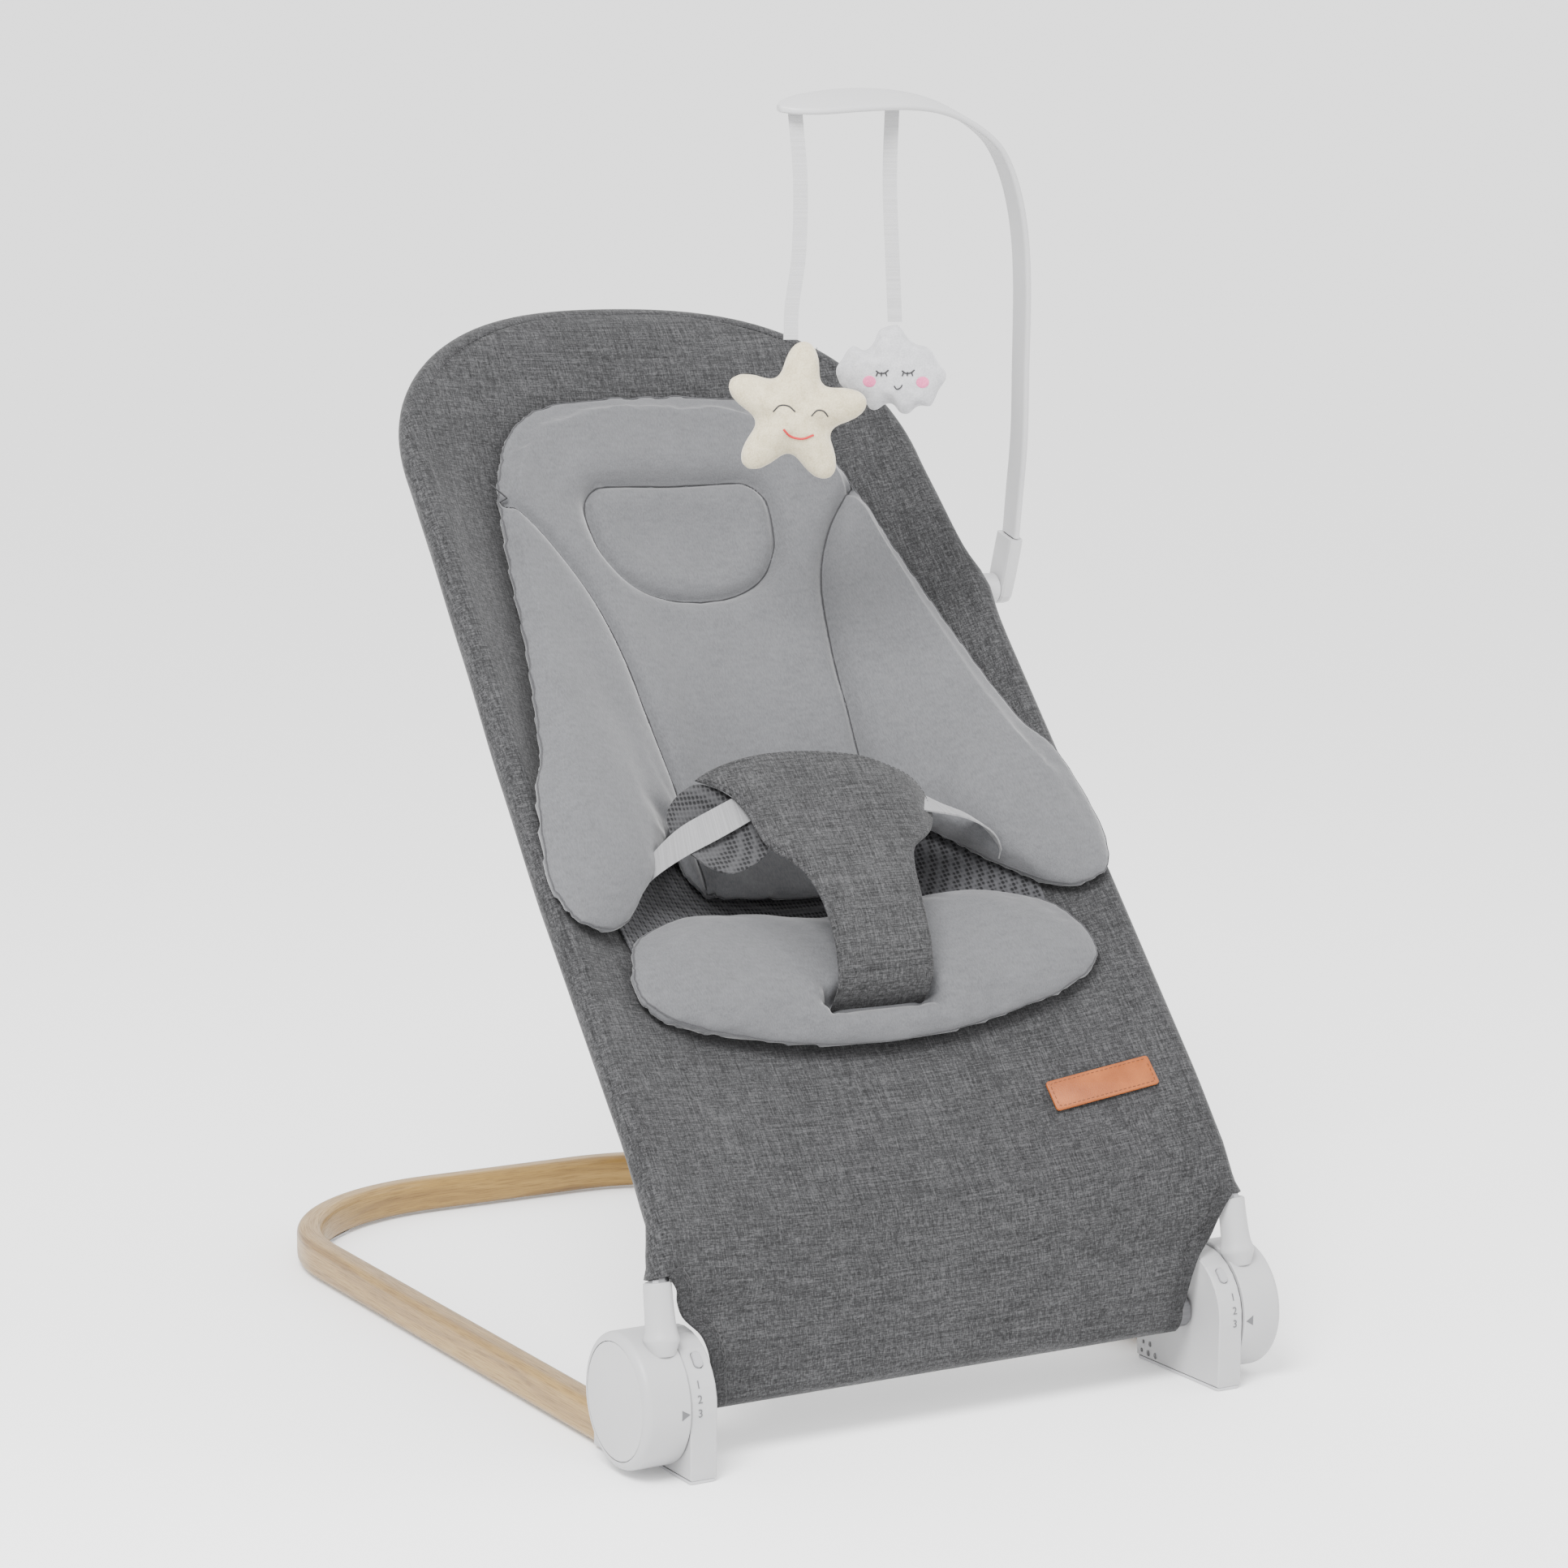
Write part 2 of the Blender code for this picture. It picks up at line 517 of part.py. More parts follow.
def make_frame():
    # lower cross bar between the housings
    profile = [(-0.1930, AXLE_R + GAP), (-0.1930, BAR_R - 0.001), (-0.1920, BAR_R), (0.1920, BAR_R),
               (0.1930, BAR_R - 0.001), (0.1930, AXLE_R + GAP)]
    solid("cross_bar", *lathe(profile, (0.0, HUB_Y, HUB_Z), 20), "steel_dark", SEAT_ORIGIN)
    line = [Vector(k) for k in TUBE_KEYS[:2]] + [Vector((rim(s)[0], s, rim(s)[1])) for s in STATIONS if s < 0.45]
    line.append(Vector((rim(0.455)[0], 0.455, rim(0.455)[1])))
    for side, word in ((-1, "left"), (1, "right")):
        path = [plane_point(side * p.x, p.y, p.z) for p in line]
        solid("side_tube_" + word, *tube(path, TUBE_R, 12), "steel_dark", path[0])
    half = []
    for s in (0.4556, 0.470, 0.500):
        half.append((rim(s)[0], s, rim(s)[1]))
    for k in range(1, 11):
        a = math.radians(90.0 * k / 10)
        x = BOW_A * max(0.0, math.cos(a)) ** (2 / BOW_N)
        s = BOW_S + BOW_B * math.sin(a) ** (2 / BOW_N)
        half.append((x, s, 0.0068 * (1.0 - math.sin(a) ** 8)))
    line = half + [(-x, s, off) for x, s, off in reversed(half[:-1])]
    path = [plane_point(*p) for p in line]
    solid("top_bow", *tube(path, TUBE_R, 12), "steel_dark", path[len(half) - 1])


def perimeter():
    """Right half of the cover edge, bar to apex: (kind, x, s, off, outward x, outward s)."""
    rows = []
    for s in STATIONS:
        half, off = rim(s)
        rows.append((half, s, off, 1.0, 0.0))
    for k in range(1, 11):
        a = math.radians(90.0 * k / 10)
        c = max(1e-4, math.cos(a))
        d = math.sin(a)
        x = BOW_A * c ** (2 / BOW_N)
        s = BOW_S + BOW_B * d ** (2 / BOW_N)
        nx = c ** (2 - 2 / BOW_N) / BOW_A
        ns = d ** (2 - 2 / BOW_N) / BOW_B
        size = math.hypot(nx, ns)
        rows.append((x if k < 10 else 0.0, s, 0.0068 * (1.0 - d ** 8), nx / size, ns / size))
    return rows


def make_cover():
    """Cloth cover: sleeve round the tubes, slung panel between them, apron down to the cross bar."""
    verts = []
    faces = []
    columns = 9
    across = 12
    rows = perimeter()
    wrap = {}
    rims = {}

    def add(p):
        verts.append(p)
        return len(verts) - 1

    for side in (-1, 1):
        for i, (x, s, off, ox, os_) in enumerate(rows):
            if i == len(rows) - 1 and side == 1:
                wrap[(1, i)] = wrap[(-1, i)]
                continue
            depth = sag(s)
            lean = math.atan2(2.0 * depth, max(x, 0.05))
            out = Vector((side * ox, 0.0, 0.0)) + ALONG * os_
            c = plane_point(side * x, s, off)
            bend = (rim(s + 0.012)[1] - rim(s - 0.012)[1]) / 0.024 if s < 0.0 else 0.0
            normal = (OFF - ALONG * bend).normalized()
            start = math.radians(205.0)
            line = []
            for k in range(columns):
                a = -lean + (start + lean) * (1.0 - k / (columns - 1))
                line.append(add(c + (normal * math.cos(a) + out * math.sin(a)) * SLEEVE_R))
            wrap[(side, i)] = line
    last = len(rows) - 1
    for side in (-1, 1):
        for i in range(last):
            a, b = wrap[(side, i)], wrap[(side, i + 1)]
            for k in range(columns - 1):
                quad = (a[k], a[k + 1], b[k + 1], b[k])
                faces.append(quad if side < 0 else tuple(reversed(quad)))
    # slung panel
    lines = []
    for i in range(last):
        left, right = wrap[(-1, i)][-1], wrap[(1, i)][-1]
        p, q = verts[left], verts[right]
        line = [left]
        for j in range(1, across):
            t = 2.0 * j / across - 1.0
            point = p.lerp(q, j / across) - OFF * sag(rows[i][1]) * (1.0 - t * t)
            line.append(add(point))
        line.append(right)
        lines.append(line)
    for i in range(last - 1):
        for j in range(across):
            faces.append((lines[i][j], lines[i][j + 1], lines[i + 1][j + 1], lines[i + 1][j]))
    apex = wrap[(1, last)][-1]
    for j in range(across):
        faces.append((lines[-1][j], lines[-1][j + 1], apex))
    # apron: narrows below the tubes, runs round the cross bar
    radius = BAR_R + 0.0006 + CLOTH / 2
    apron = list(APRON)
    for k in range(13):
        a = math.radians(163.0 + 235.0 * k / 12)
        apron.append((0.1835 - 0.0005 * k, None, a, 0.0, 0.0))
    previous = lines[0]
    for x, y, z, depth, fall in apron:
        line = []
        for j in range(across + 1):
            t = 2.0 * j / across - 1.0
            if y is None:
                p = Vector((x * t, HUB_Y + radius * math.cos(z), HUB_Z + radius * math.sin(z)))
            else:
                p = Vector((x * t, FRONT_Y + y + depth * (1.0 - t * t), z - fall * (1.0 - t * t)))
            line.append(add(p))
        for j in range(across):
            faces.append((line[j], line[j + 1], previous[j + 1], previous[j]))
        previous = line
    solid("seat_cover", *thicken(verts, faces, CLOTH / 2), "cover_weave", SEAT_ORIGIN)


def ring_outline(half, steps=2):
    """Closed symmetric outline (x, s) from its right half, top centre to bottom centre."""
    keys = [(x, s, 0.0) for x, s in half]
    line = smooth_line(keys, steps)
    right = [(p.x, p.y) for p in line]
    right[0] = (0.0, right[0][1])
    right[-1] = (0.0, right[-1][1])
    return right + [(-x, s) for x, s in reversed(right[1:-1])]


def cushion_depth(x, s):
    """Loft of the insert: fuller in the wings and lower lobes."""
    dx = (abs(x) - 0.163) / 0.058
    ds = (s - 0.205) / 0.115
    return 0.0185 + 0.021 * math.exp(-dx * dx - ds * ds)


def make_soft_goods():
    skin = CLOTH / 2 + GAP
    # dark spacer-mesh panel laid on the sling
    half = [(0.0, 0.490), (0.080, 0.485), (0.130, 0.460), (0.155, 0.390), (0.166, 0.300), (0.170, 0.200),
            (0.166, 0.110), (0.145, 0.060), (0.085, 0.040), (0.0, 0.034)]
    solid("mesh_panel", *puff(ring_outline(half, 1), (0.0, 0.26), sling, lambda q, x, s: skin + 0.0017,
                              lambda q, x, s: skin + 0.0027), "mesh_knit", SEAT_ORIGIN)
    base = skin + 0.0027 + 0.0024
    half = [(0.0, 0.583), (0.055, 0.580), (0.100, 0.568), (0.131, 0.544), (0.150, 0.510), (0.160, 0.485),
            (0.166, 0.460), (0.172, 0.425), (0.181, 0.370), (0.194, 0.310), (0.208, 0.254), (0.219, 0.212),
            (0.2255, 0.171), (0.2255, 0.144), (0.219, 0.124), (0.203, 0.115), (0.182, 0.120), (0.157, 0.144),
            (0.134, 0.173), (0.118, 0.191), (0.108, 0.196), (0.101, 0.188), (0.098, 0.174), (0.090, 0.161),
            (0.075, 0.154), (0.040, 0.151), (0.0, 0.150)]

    def top(q, x, s):
        return base + 0.005 + (cushion_depth(x, s) - 0.005) * math.sqrt(max(0.0, 1.0 - q ** 5))
    solid("insert_cushion", *puff(ring_outline(half, 1), (0.0, 0.345), sling, lambda q, x, s: base, top),
          "jersey_grey", SEAT_ORIGIN)
    # head pad, shield shaped, on the insert
    half_pad = [(0.0, 0.503), (0.050, 0.500), (0.070, 0.490), (0.075, 0.470), (0.070, 0.443), (0.053, 0.415),
                (0.030, 0.392), (0.0, 0.378)]
    over = base + 0.0185 + 0.0014
    solid("head_pad", *puff(ring_outline(half_pad), (0.0, 0.45), sling, lambda q, x, s: over,
                            lambda q, x, s: over + 0.002 + 0.007 * math.sqrt(max(0.0, 1.0 - q ** 4)),
                            (0.45, 0.80, 0.95, 1.0)),
          "jersey_grey", SEAT_ORIGIN)
    # seat pad with its harness slot
    half = [(0.0, 0.140), (0.070, 0.143), (0.130, 0.139), (0.168, 0.122), (0.184, 0.098), (0.1885, 0.078),
            (0.184, 0.060), (0.160, 0.043), (0.120, 0.030), (0.060, 0.020), (0.0, 0.017)]

    def pad_top(q, x, s):
        return base + 0.006 + 0.016 * math.sqrt(max(0.0, 1.0 - q ** 4))
    pad = solid("seat_pad", *puff(ring_outline(half), (0.0, 0.080), sling, lambda q, x, s: base, pad_top),
                "jersey_grey", SEAT_ORIGIN)
    rings = []
    for h in (-0.004, 0.040):
        rings.append([sling(a, 0.053 + b, h) for a, b in rounded(0.0800, 0.0110, 0.004)])
    slot = solid("slot_cutter", *loft(rings), "jersey_grey", SEAT_ORIGIN)
    boolean(pad, slot, "DIFFERENCE")
    # harness: crotch strap rising through the slot, widening to a belt
    rows = [(0.0350, 0.0530, None, 0.0), (0.0350, 0.0530, None, 0.0), (0.0352, 0.0560, 0.0160, 0.0),
            (0.0358, 0.0720, 0.0270, 0.0), (0.0365, 0.0930, 0.0345, 0.001), (0.0385, 0.1180, 0.0378, 0.001),
            (0.0470, 0.1390, 0.0385, 0.004), (0.0680, 0.1560, 0.0382, 0.014), (0.0930, 0.1720, 0.0376, 0.025),
            (0.1020, 0.1900, 0.0370, 0.030), (0.1010, 0.2080, 0.0364, 0.030), (0.0900, 0.2240, 0.0360, 0.028),
            (0.0700, 0.2350, 0.0357, 0.016)]
    verts = []
    faces = []
    across = 10
    for i, (half_x, s, off, drop) in enumerate(rows):
        for j in range(across + 1):
            t = 2.0 * j / across - 1.0
            if off is None:
                verts.append(sling(half_x * t, s, base + 0.0020 + 0.0110 * i))
            else:
                low = sling(half_x * t, s, base + 0.023)
                high = (low - PLANE).dot(OFF)
                verts.append(plane_point(half_x * t, s, max(off - drop * t * t, high if i < 3 else off - drop * t * t)))
    for i in range(len(rows) - 1):
        for j in range(across):
            a = i * (across + 1) + j
            faces.append((a, a + 1, a + across + 2, a + across + 1))
    solid("harness_pad", *thicken(verts, faces, 0.0030), "harness_weave", SEAT_ORIGIN)
    # side webbing from the belt ends down to the sling
    for side, word in ((-1, "left"), (1, "right")):
        line = [plane_point(side * 0.1065, 0.1950, 0.0100), plane_point(side * 0.1115, 0.1745, 0.0015),
                sling(side * 0.1160, 0.1570, 0.0130), sling(side * 0.1170, 0.1560, 0.0056)]
        sheet = []
        quads = []
        for p, w in zip(line, (0.0090, 0.0080, 0.0060, 0.0060)):
            sheet += [p - ALONG * w, p + ALONG * w]
        for i in range(len(line) - 1):
            quads.append((2 * i, 2 * i + 1, 2 * i + 3, 2 * i + 2))
        solid("webbing_" + word, *thicken(sheet, quads, 0.0006), "webbing", SEAT_ORIGIN)
    # leather tag on the front of the cover
    turn = math.radians(3.0)
    outline = []
    for a, b in rounded(0.0790, 0.0220, 0.0022):
        outline.append((0.1475 + a * math.cos(turn) - b * math.sin(turn), -0.0290 + a * math.sin(turn) + b * math.cos(turn)))
    solid("leather_tag", *puff(outline, (0.1475, -0.0290), sling, lambda q, x, s: skin + 0.0005,
                               lambda q, x, s: skin + 0.0021, (0.5, 1.0)), "tan_leather", SEAT_ORIGIN)


# ---------------------------------------------------------------- toy arch
def make_arch():
    wide = Vector((0.0, math.cos(ARCH_TILT), math.sin(ARCH_TILT)))
    y, z = PIVOT.y, PIVOT.z
    centre = (0.0, y, z)
    half, off = rim(0.3904)
    inner = half + SLEEVE_R + CLOTH / 2 + GAP
    clamp = [(inner, 0.0105), (inner + 0.001, 0.0115), (0.2325, 0.0115), (0.2335, 0.0105)]
    profile = [(clamp[0][0], 0.0043)] + clamp + [(clamp[-1][0], 0.0043)]
    solid("arch_clamp", *lathe(profile, centre, 24), "arch_white", (0.225, y, z))
    pin = [(inner + 0.0010, 0.0040), (0.2450, 0.0040)]
    solid("pivot_pin", *lathe(pin, centre, 16, 1, False), "steel_dark", (0.225, y, z))
    # elbow: round eye on the pin, rising to a socket for the strip
    up = Vector((0.0, -math.sin(ARCH_TILT), math.cos(ARCH_TILT)))
    rings = []
    for step, width in ((-0.0110, 0.007), (-0.0080, 0.016), (-0.0030, 0.0205), (0.012, 0.022), (0.036, 0.022),
                        (0.0420, 0.0215)):
        c = Vector((0.2397, y, z)) + up * step
        rings.append([c + Vector((a, 0.0, 0.0)) + wide * b for a, b in rounded(0.0116, width, 0.0028)])
    elbow = solid("arch_elbow", *loft(rings), "arch_white", (0.2397, y, z))
    bore = solid("bore_elbow", *lathe([(0.2320, 0.0043), (0.2452, 0.0043)], centre, 16, 1, False), "arch_white")
    boolean(elbow, bore, "DIFFERENCE")
    start = Vector((0.2402, y, z)) + up * 0.0420
    lift = start + up * 0.0010
    keys = [(lift.x, lift.y, lift.z, 0.0195), (0.2385, FRONT_Y + 0.3320, 0.5900, 0.0200),
            (0.2320, FRONT_Y + 0.3160, 0.6350, 0.0200), (0.2230, FRONT_Y + 0.3010, 0.6860, 0.0200),
            (0.2120, FRONT_Y + 0.2830, 0.7400, 0.0205), (0.2020, FRONT_Y + 0.2710, 0.7790, 0.0210),
            (0.1890, FRONT_Y + 0.2610, 0.8110, 0.0220), (0.1730, FRONT_Y + 0.2530, 0.8360, 0.0235),
            (0.1560, FRONT_Y + 0.2480, 0.8510, 0.0255), (0.1300, FRONT_Y + 0.2440, 0.8640, 0.0290),
            (0.1050, FRONT_Y + 0.2420, 0.8710, 0.0345), (0.0770, FRONT_Y + 0.2412, 0.8735, 0.0400),
            (0.0450, FRONT_Y + 0.2410, 0.8725, 0.0430), (0.0150, FRONT_Y + 0.2410, 0.8695, 0.0380),
            (0.0020, FRONT_Y + 0.2410, 0.8680, 0.0300), (-0.0070, FRONT_Y + 0.2410, 0.8668, 0.0200),
            (-0.0130, FRONT_Y + 0.2410, 0.8660, 0.0060)]
    thick = 0.0048
    rings = []
    pts = [Vector(k[:3]) for k in keys]
    for i, k in enumerate(keys):
        t = (pts[min(i + 1, len(pts) - 1)] - pts[max(i - 1, 0)]).normalized()
        out = t.cross(wide).normalized()
        edge = min(0.0018, k[3] * 0.3)
        rings.append([pts[i] + wide * a + out * b for a, b in rounded(k[3], thick, edge)])
    tip = solid("toy_arch", *loft(rings), "arch_white", PIVOT)
    # tenon that keys the strip into the elbow
    tenon = []
    for step in (-0.0140, 0.0020):
        c = start + up * step
        tenon.append([c + Vector((a, 0.0, 0.0)) + wide * b for a, b in rounded(0.0040, 0.0140, 0.001)])
    boolean(tip, solid("tenon", *loft(tenon), "arch_white"), "UNION")
    slot = []
    for step in (-0.0150, 0.0050):
        c = start + up * step
        slot.append([c + Vector((a, 0.0, 0.0)) + wide * b for a, b in rounded(0.0048, 0.0148, 0.001)])
    boolean(elbow, solid("tenon_slot", *loft(slot), "arch_white"), "DIFFERENCE")


def make_toy(name, top, drop, material, outline, depth, ribbon_name):
    """Flat ribbon and a stuffed toy hanging under it."""
    wide = Vector((math.cos(TOY_TURN), math.sin(TOY_TURN), 0.0))
    face = Vector((math.sin(TOY_TURN), -math.cos(TOY_TURN), 0.0))
    bottom = top - UP * drop
    rings = []
    for p in (top, (top + bottom) / 2, bottom):
        rings.append([p + wide * a + face * b for a, b in rounded(0.010, 0.0010, 0.0004, 1)])
    solid(ribbon_name, *loft(rings), "ribbon_grey", top)
    reach = max(b for a, b in outline)
    middle = bottom - UP * (reach + 0.0004)

    def place(a, b, h):
        return middle + wide * a + UP * b + face * h

    def front(q, a, b):
        return 0.002 + depth * math.sqrt(max(0.0, 1.0 - q ** 2.6))
    solid(name, *puff(outline, (0.0, 0.0), place, lambda q, a, b: -front(q, a, b), front,
                      (0.35, 0.65, 0.88, 1.0)), material, top)


def star_outline():
    pts = []
    for k in range(50):
        a = math.radians(90.0 + 360.0 * k / 50)
        lobe = 0.5 + 0.5 * math.cos(5.0 * (a - math.radians(90.0)))
        r = 0.0285 + 0.0255 * lobe ** 1.15
        pts.append((r * math.cos(a) * 0.99, r * math.sin(a)))
    return pts


def cloud_outline():
    lobes = ((-0.0225, -0.0090, 0.0245), (-0.0020, 0.0130, 0.0270), (0.0240, -0.0060, 0.0235),
             (0.0020, -0.0190, 0.0210), (-0.0130, 0.0040, 0.0240), (0.0150, 0.0060, 0.0240))
    pts = []
    for k in range(48):
        a = math.tau * k / 48
        d = Vector((math.cos(a), math.sin(a)))
        best = 0.0
        for x, y, r in lobes:
            c = Vector((x, y))
            along = c.dot(d)
            gap = c.length_squared - along * along
            if gap < r * r:
                best = max(best, along + math.sqrt(r * r - gap))
        pts.append((best * d.x, best * d.y))
    return pts


# ---------------------------------------------------------------- build
make_rail()
for hand, label in ((-1, "left"), (1, "right")):
    make_base_side(hand, label)
    make_drum(hand, label)
make_frame()
make_cover()
make_soft_goods()
make_arch()
make_toy("plush_star", STAR_TOP, 0.1480, "star_plush", star_outline(), 0.0130, "star_ribbon")
make_toy("plush_cloud", CLOUD_TOP, 0.1460, "cloud_plush", cloud_outline(), 0.0120, "cloud_ribbon")
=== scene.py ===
"""Looks for the bouncer seat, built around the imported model.  Metres, +Z up, front toward -Y."""

import math

import bmesh
import bpy
import numpy as np
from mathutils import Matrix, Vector, noise
from mathutils.bvhtree import BVHTree


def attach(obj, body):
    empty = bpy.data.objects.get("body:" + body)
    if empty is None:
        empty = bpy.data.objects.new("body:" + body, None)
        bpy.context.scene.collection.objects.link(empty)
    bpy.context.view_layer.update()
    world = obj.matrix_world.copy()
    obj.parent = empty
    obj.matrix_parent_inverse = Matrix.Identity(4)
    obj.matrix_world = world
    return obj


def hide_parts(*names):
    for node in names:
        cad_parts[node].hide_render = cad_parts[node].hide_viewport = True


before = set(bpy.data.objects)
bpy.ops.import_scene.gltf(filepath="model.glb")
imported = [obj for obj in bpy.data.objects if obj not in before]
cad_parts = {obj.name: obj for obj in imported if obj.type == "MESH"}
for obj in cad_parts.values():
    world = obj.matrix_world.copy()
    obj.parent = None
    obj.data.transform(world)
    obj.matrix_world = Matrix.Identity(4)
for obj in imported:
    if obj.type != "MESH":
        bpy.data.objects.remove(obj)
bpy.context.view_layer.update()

# ---------------------------------------------------------------- dimensions, as in the CAD
FRONT_Y = -0.36375          # front face of the hub housings
BACK_Y = FRONT_Y + 0.731    # rear outer face of the floor rail
GAP = 0.0003                # running gap between pieces that touch

HUB_Y = FRONT_Y + 0.0415    # recline axis
HUB_Z = 0.0485
AXLE_R = 0.006
HOUSING_R = 0.0428          # fixed housings
DRUM_IN = 0.2142
DRUM_OUT = 0.2458
DRUM_R = 0.0445
CAP_R = 0.0384
FOOT_T = 0.0018             # rubber foot thickness

RAIL_OUT = 0.231            # floor rail
RAIL_W = 0.0195
RAIL_TOP = 0.028
RAIL_CORNER = 0.165
RAIL_START = FRONT_Y + 0.1000

SEAT_Y = FRONT_Y + 0.093    # origin of the sling plane
SEAT_Z = 0.228
SLOPE = math.radians(48.61)
TUBE_R = 0.0075
CLOTH = 0.002               # cover thickness
SLEEVE_R = TUBE_R + 0.0010 + CLOTH / 2
BAR_R = 0.012               # lower cross bar, on the recline axis
# depth of the sling below its rim: (station, depth)
SAG_KEYS = ((-0.110, 0.0252), (-0.050, 0.0255), (0.010, 0.0258), (0.050, 0.0290), (0.085, 0.0375),
            (0.120, 0.0490),
            (0.160, 0.0620), (0.200, 0.0700), (0.240, 0.0715), (0.280, 0.0690), (0.330, 0.0645),
            (0.380, 0.0610),
            (0.420, 0.0600))

BOW_S = 0.50                # the head bow is a superellipse above this station
BOW_A = 0.1995
BOW_B = 0.1495
BOW_N = 2.25
# side tube centreline: (x, station up the sling, height off the sling plane)
TUBE_KEYS = ((0.2228, -0.1361, -0.0277), (0.2216, -0.1215, -0.0190), (0.2165, -0.1090, -0.0150),
             (0.2125, -0.0850, -0.0045), (0.2115, -0.0300, 0.0000), (0.2115, 0.1500, 0.0020),
             (0.2095, 0.2520, 0.0050), (0.2065, 0.3540, 0.0092), (0.2015, 0.4550, 0.0078),
             (0.1995, 0.5000, 0.0068))

STATIONS = (-0.117, -0.110, -0.103, -0.095, -0.085, -0.065, -0.040, -0.010, 0.020, 0.045, 0.065, 0.085,
            0.105,
            0.125, 0.150, 0.175, 0.205, 0.235, 0.270, 0.310, 0.350, 0.380, 0.410, 0.440, 0.470, 0.500)

# apron rows: (x, y behind the front face, z) of the free edge, then how far its middle lies back and down
APRON = ((0.2113, 0.0215, 0.1215, 0.0155, 0.0150), (0.2088, 0.0252, 0.1120, 0.0098, 0.0120),
         (0.2040, 0.0265, 0.1010, 0.0070, 0.0095), (0.1935, 0.0238, 0.0900, 0.0079, 0.0060),
         (0.1885, 0.0232, 0.0800, 0.0071, 0.0035), (0.1855, 0.0243, 0.0690, 0.0050, 0.0015))

ARCH_TILT = math.radians(18.0)
PIVOT = Vector((0.0, FRONT_Y + 0.352, 0.520))    # toy arch pivot axis, along X
TOY_TURN = math.radians(-29.6)                   # the soft toys hang turned toward the front corner
STAR_TOP = Vector((0.000, FRONT_Y + 0.2412, 0.8600))
CLOUD_TOP = Vector((0.077, FRONT_Y + 0.2412, 0.8680))

ACROSS = Vector((1.0, 0.0, 0.0))
UP = Vector((0.0, 0.0, 1.0))
ALONG = Vector((0.0, math.cos(SLOPE), math.sin(SLOPE)))
OFF = Vector((0.0, -math.sin(SLOPE), math.cos(SLOPE)))
PLANE = Vector((0.0, SEAT_Y, SEAT_Z))


def loft(rings, closed=False):
    """Vertices and faces joining equal rings of points; ends are capped unless the loft is closed."""
    count = len(rings[0])
    verts = [p for ring in rings for p in ring]
    faces = []
    steps = len(rings) if closed else len(rings) - 1
    for i in range(steps):
        a = i * count
        b = ((i + 1) % len(rings)) * count
        for j in range(count):
            k = (j + 1) % count
            faces.append((a + j, a + k, b + k, b + j))
    if not closed:
        faces.append(tuple(range(count)))
        faces.append(tuple(range((len(rings) - 1) * count, len(rings) * count)))
    return verts, faces


def lathe(profile, centre, segments, side=1, closed=True):
    """Profile of (x, radius) points turned about an axis along X."""
    rings = []
    for x, radius in profile:
        ring = []
        for j in range(segments):
            a = math.tau * j / segments
            ring.append(Vector((side * x, centre[1] + radius * math.cos(a),
                                centre[2] + radius * math.sin(a))))
        rings.append(ring)
    return loft(rings, closed)


def tangent(path, i):
    """Direction of a path of points at one of them."""
    return (path[min(i + 1, len(path) - 1)] - path[max(i - 1, 0)]).normalized()


def tube(path, radii, segments=12):
    """Round bar along a path of points."""
    rings = []
    previous = None
    for i, p in enumerate(path):
        t = tangent(path, i)
        if previous is None:
            seed = ACROSS if abs(t.x) < 0.8 else UP
            u = (seed - t * seed.dot(t)).normalized()
        else:
            u = (previous - t * previous.dot(t)).normalized()
        v = t.cross(u)
        r = radii[i] if isinstance(radii, (list, tuple)) else radii
        rings.append([p + (u * math.cos(a) + v * math.sin(a)) * r
                      for a in (math.tau * j / segments for j in range(segments))])
        previous = u
    return loft(rings)


def rounded(width, height, radius, steps=2):
    """Rounded rectangle section as (a, b) pairs about its centre."""
    pts = []
    corners = ((1, 1, 0.0), (-1, 1, 90.0), (-1, -1, 180.0), (1, -1, 270.0))
    for cx, cy, start in corners:
        for k in range(steps + 1):
            a = math.radians(start + 90.0 * k / steps)
            pts.append((cx * (width / 2 - radius) + radius * math.cos(a),
                        cy * (height / 2 - radius) + radius * math.sin(a)))
    return pts


def thicken(verts, faces, half):
    """Closed sheet solid from an open surface."""
    normals = [Vector((0.0, 0.0, 0.0)) for _ in verts]
    edges = {}
    for face in faces:
        n = (verts[face[1]] - verts[face[0]]).cross(verts[face[2]] - verts[face[0]])
        if len(face) == 4:
            n = (verts[face[2]] - verts[face[0]]).cross(verts[face[3]] - verts[face[1]])
        for i, a in enumerate(face):
            normals[a] += n
            b = face[(i + 1) % len(face)]
            edges.setdefault((min(a, b), max(a, b)), []).append((a, b))
    normals = [n.normalized() for n in normals]
    count = len(verts)
    out = [v + n * half for v, n in zip(verts, normals)] + [v - n * half for v, n in zip(verts, normals)]
    made = list(faces) + [tuple(i + count for i in reversed(face)) for face in faces]
    for used in edges.values():
        if len(used) == 1:
            a, b = used[0]
            made.append((b, a, a + count, b + count))
    return out, made


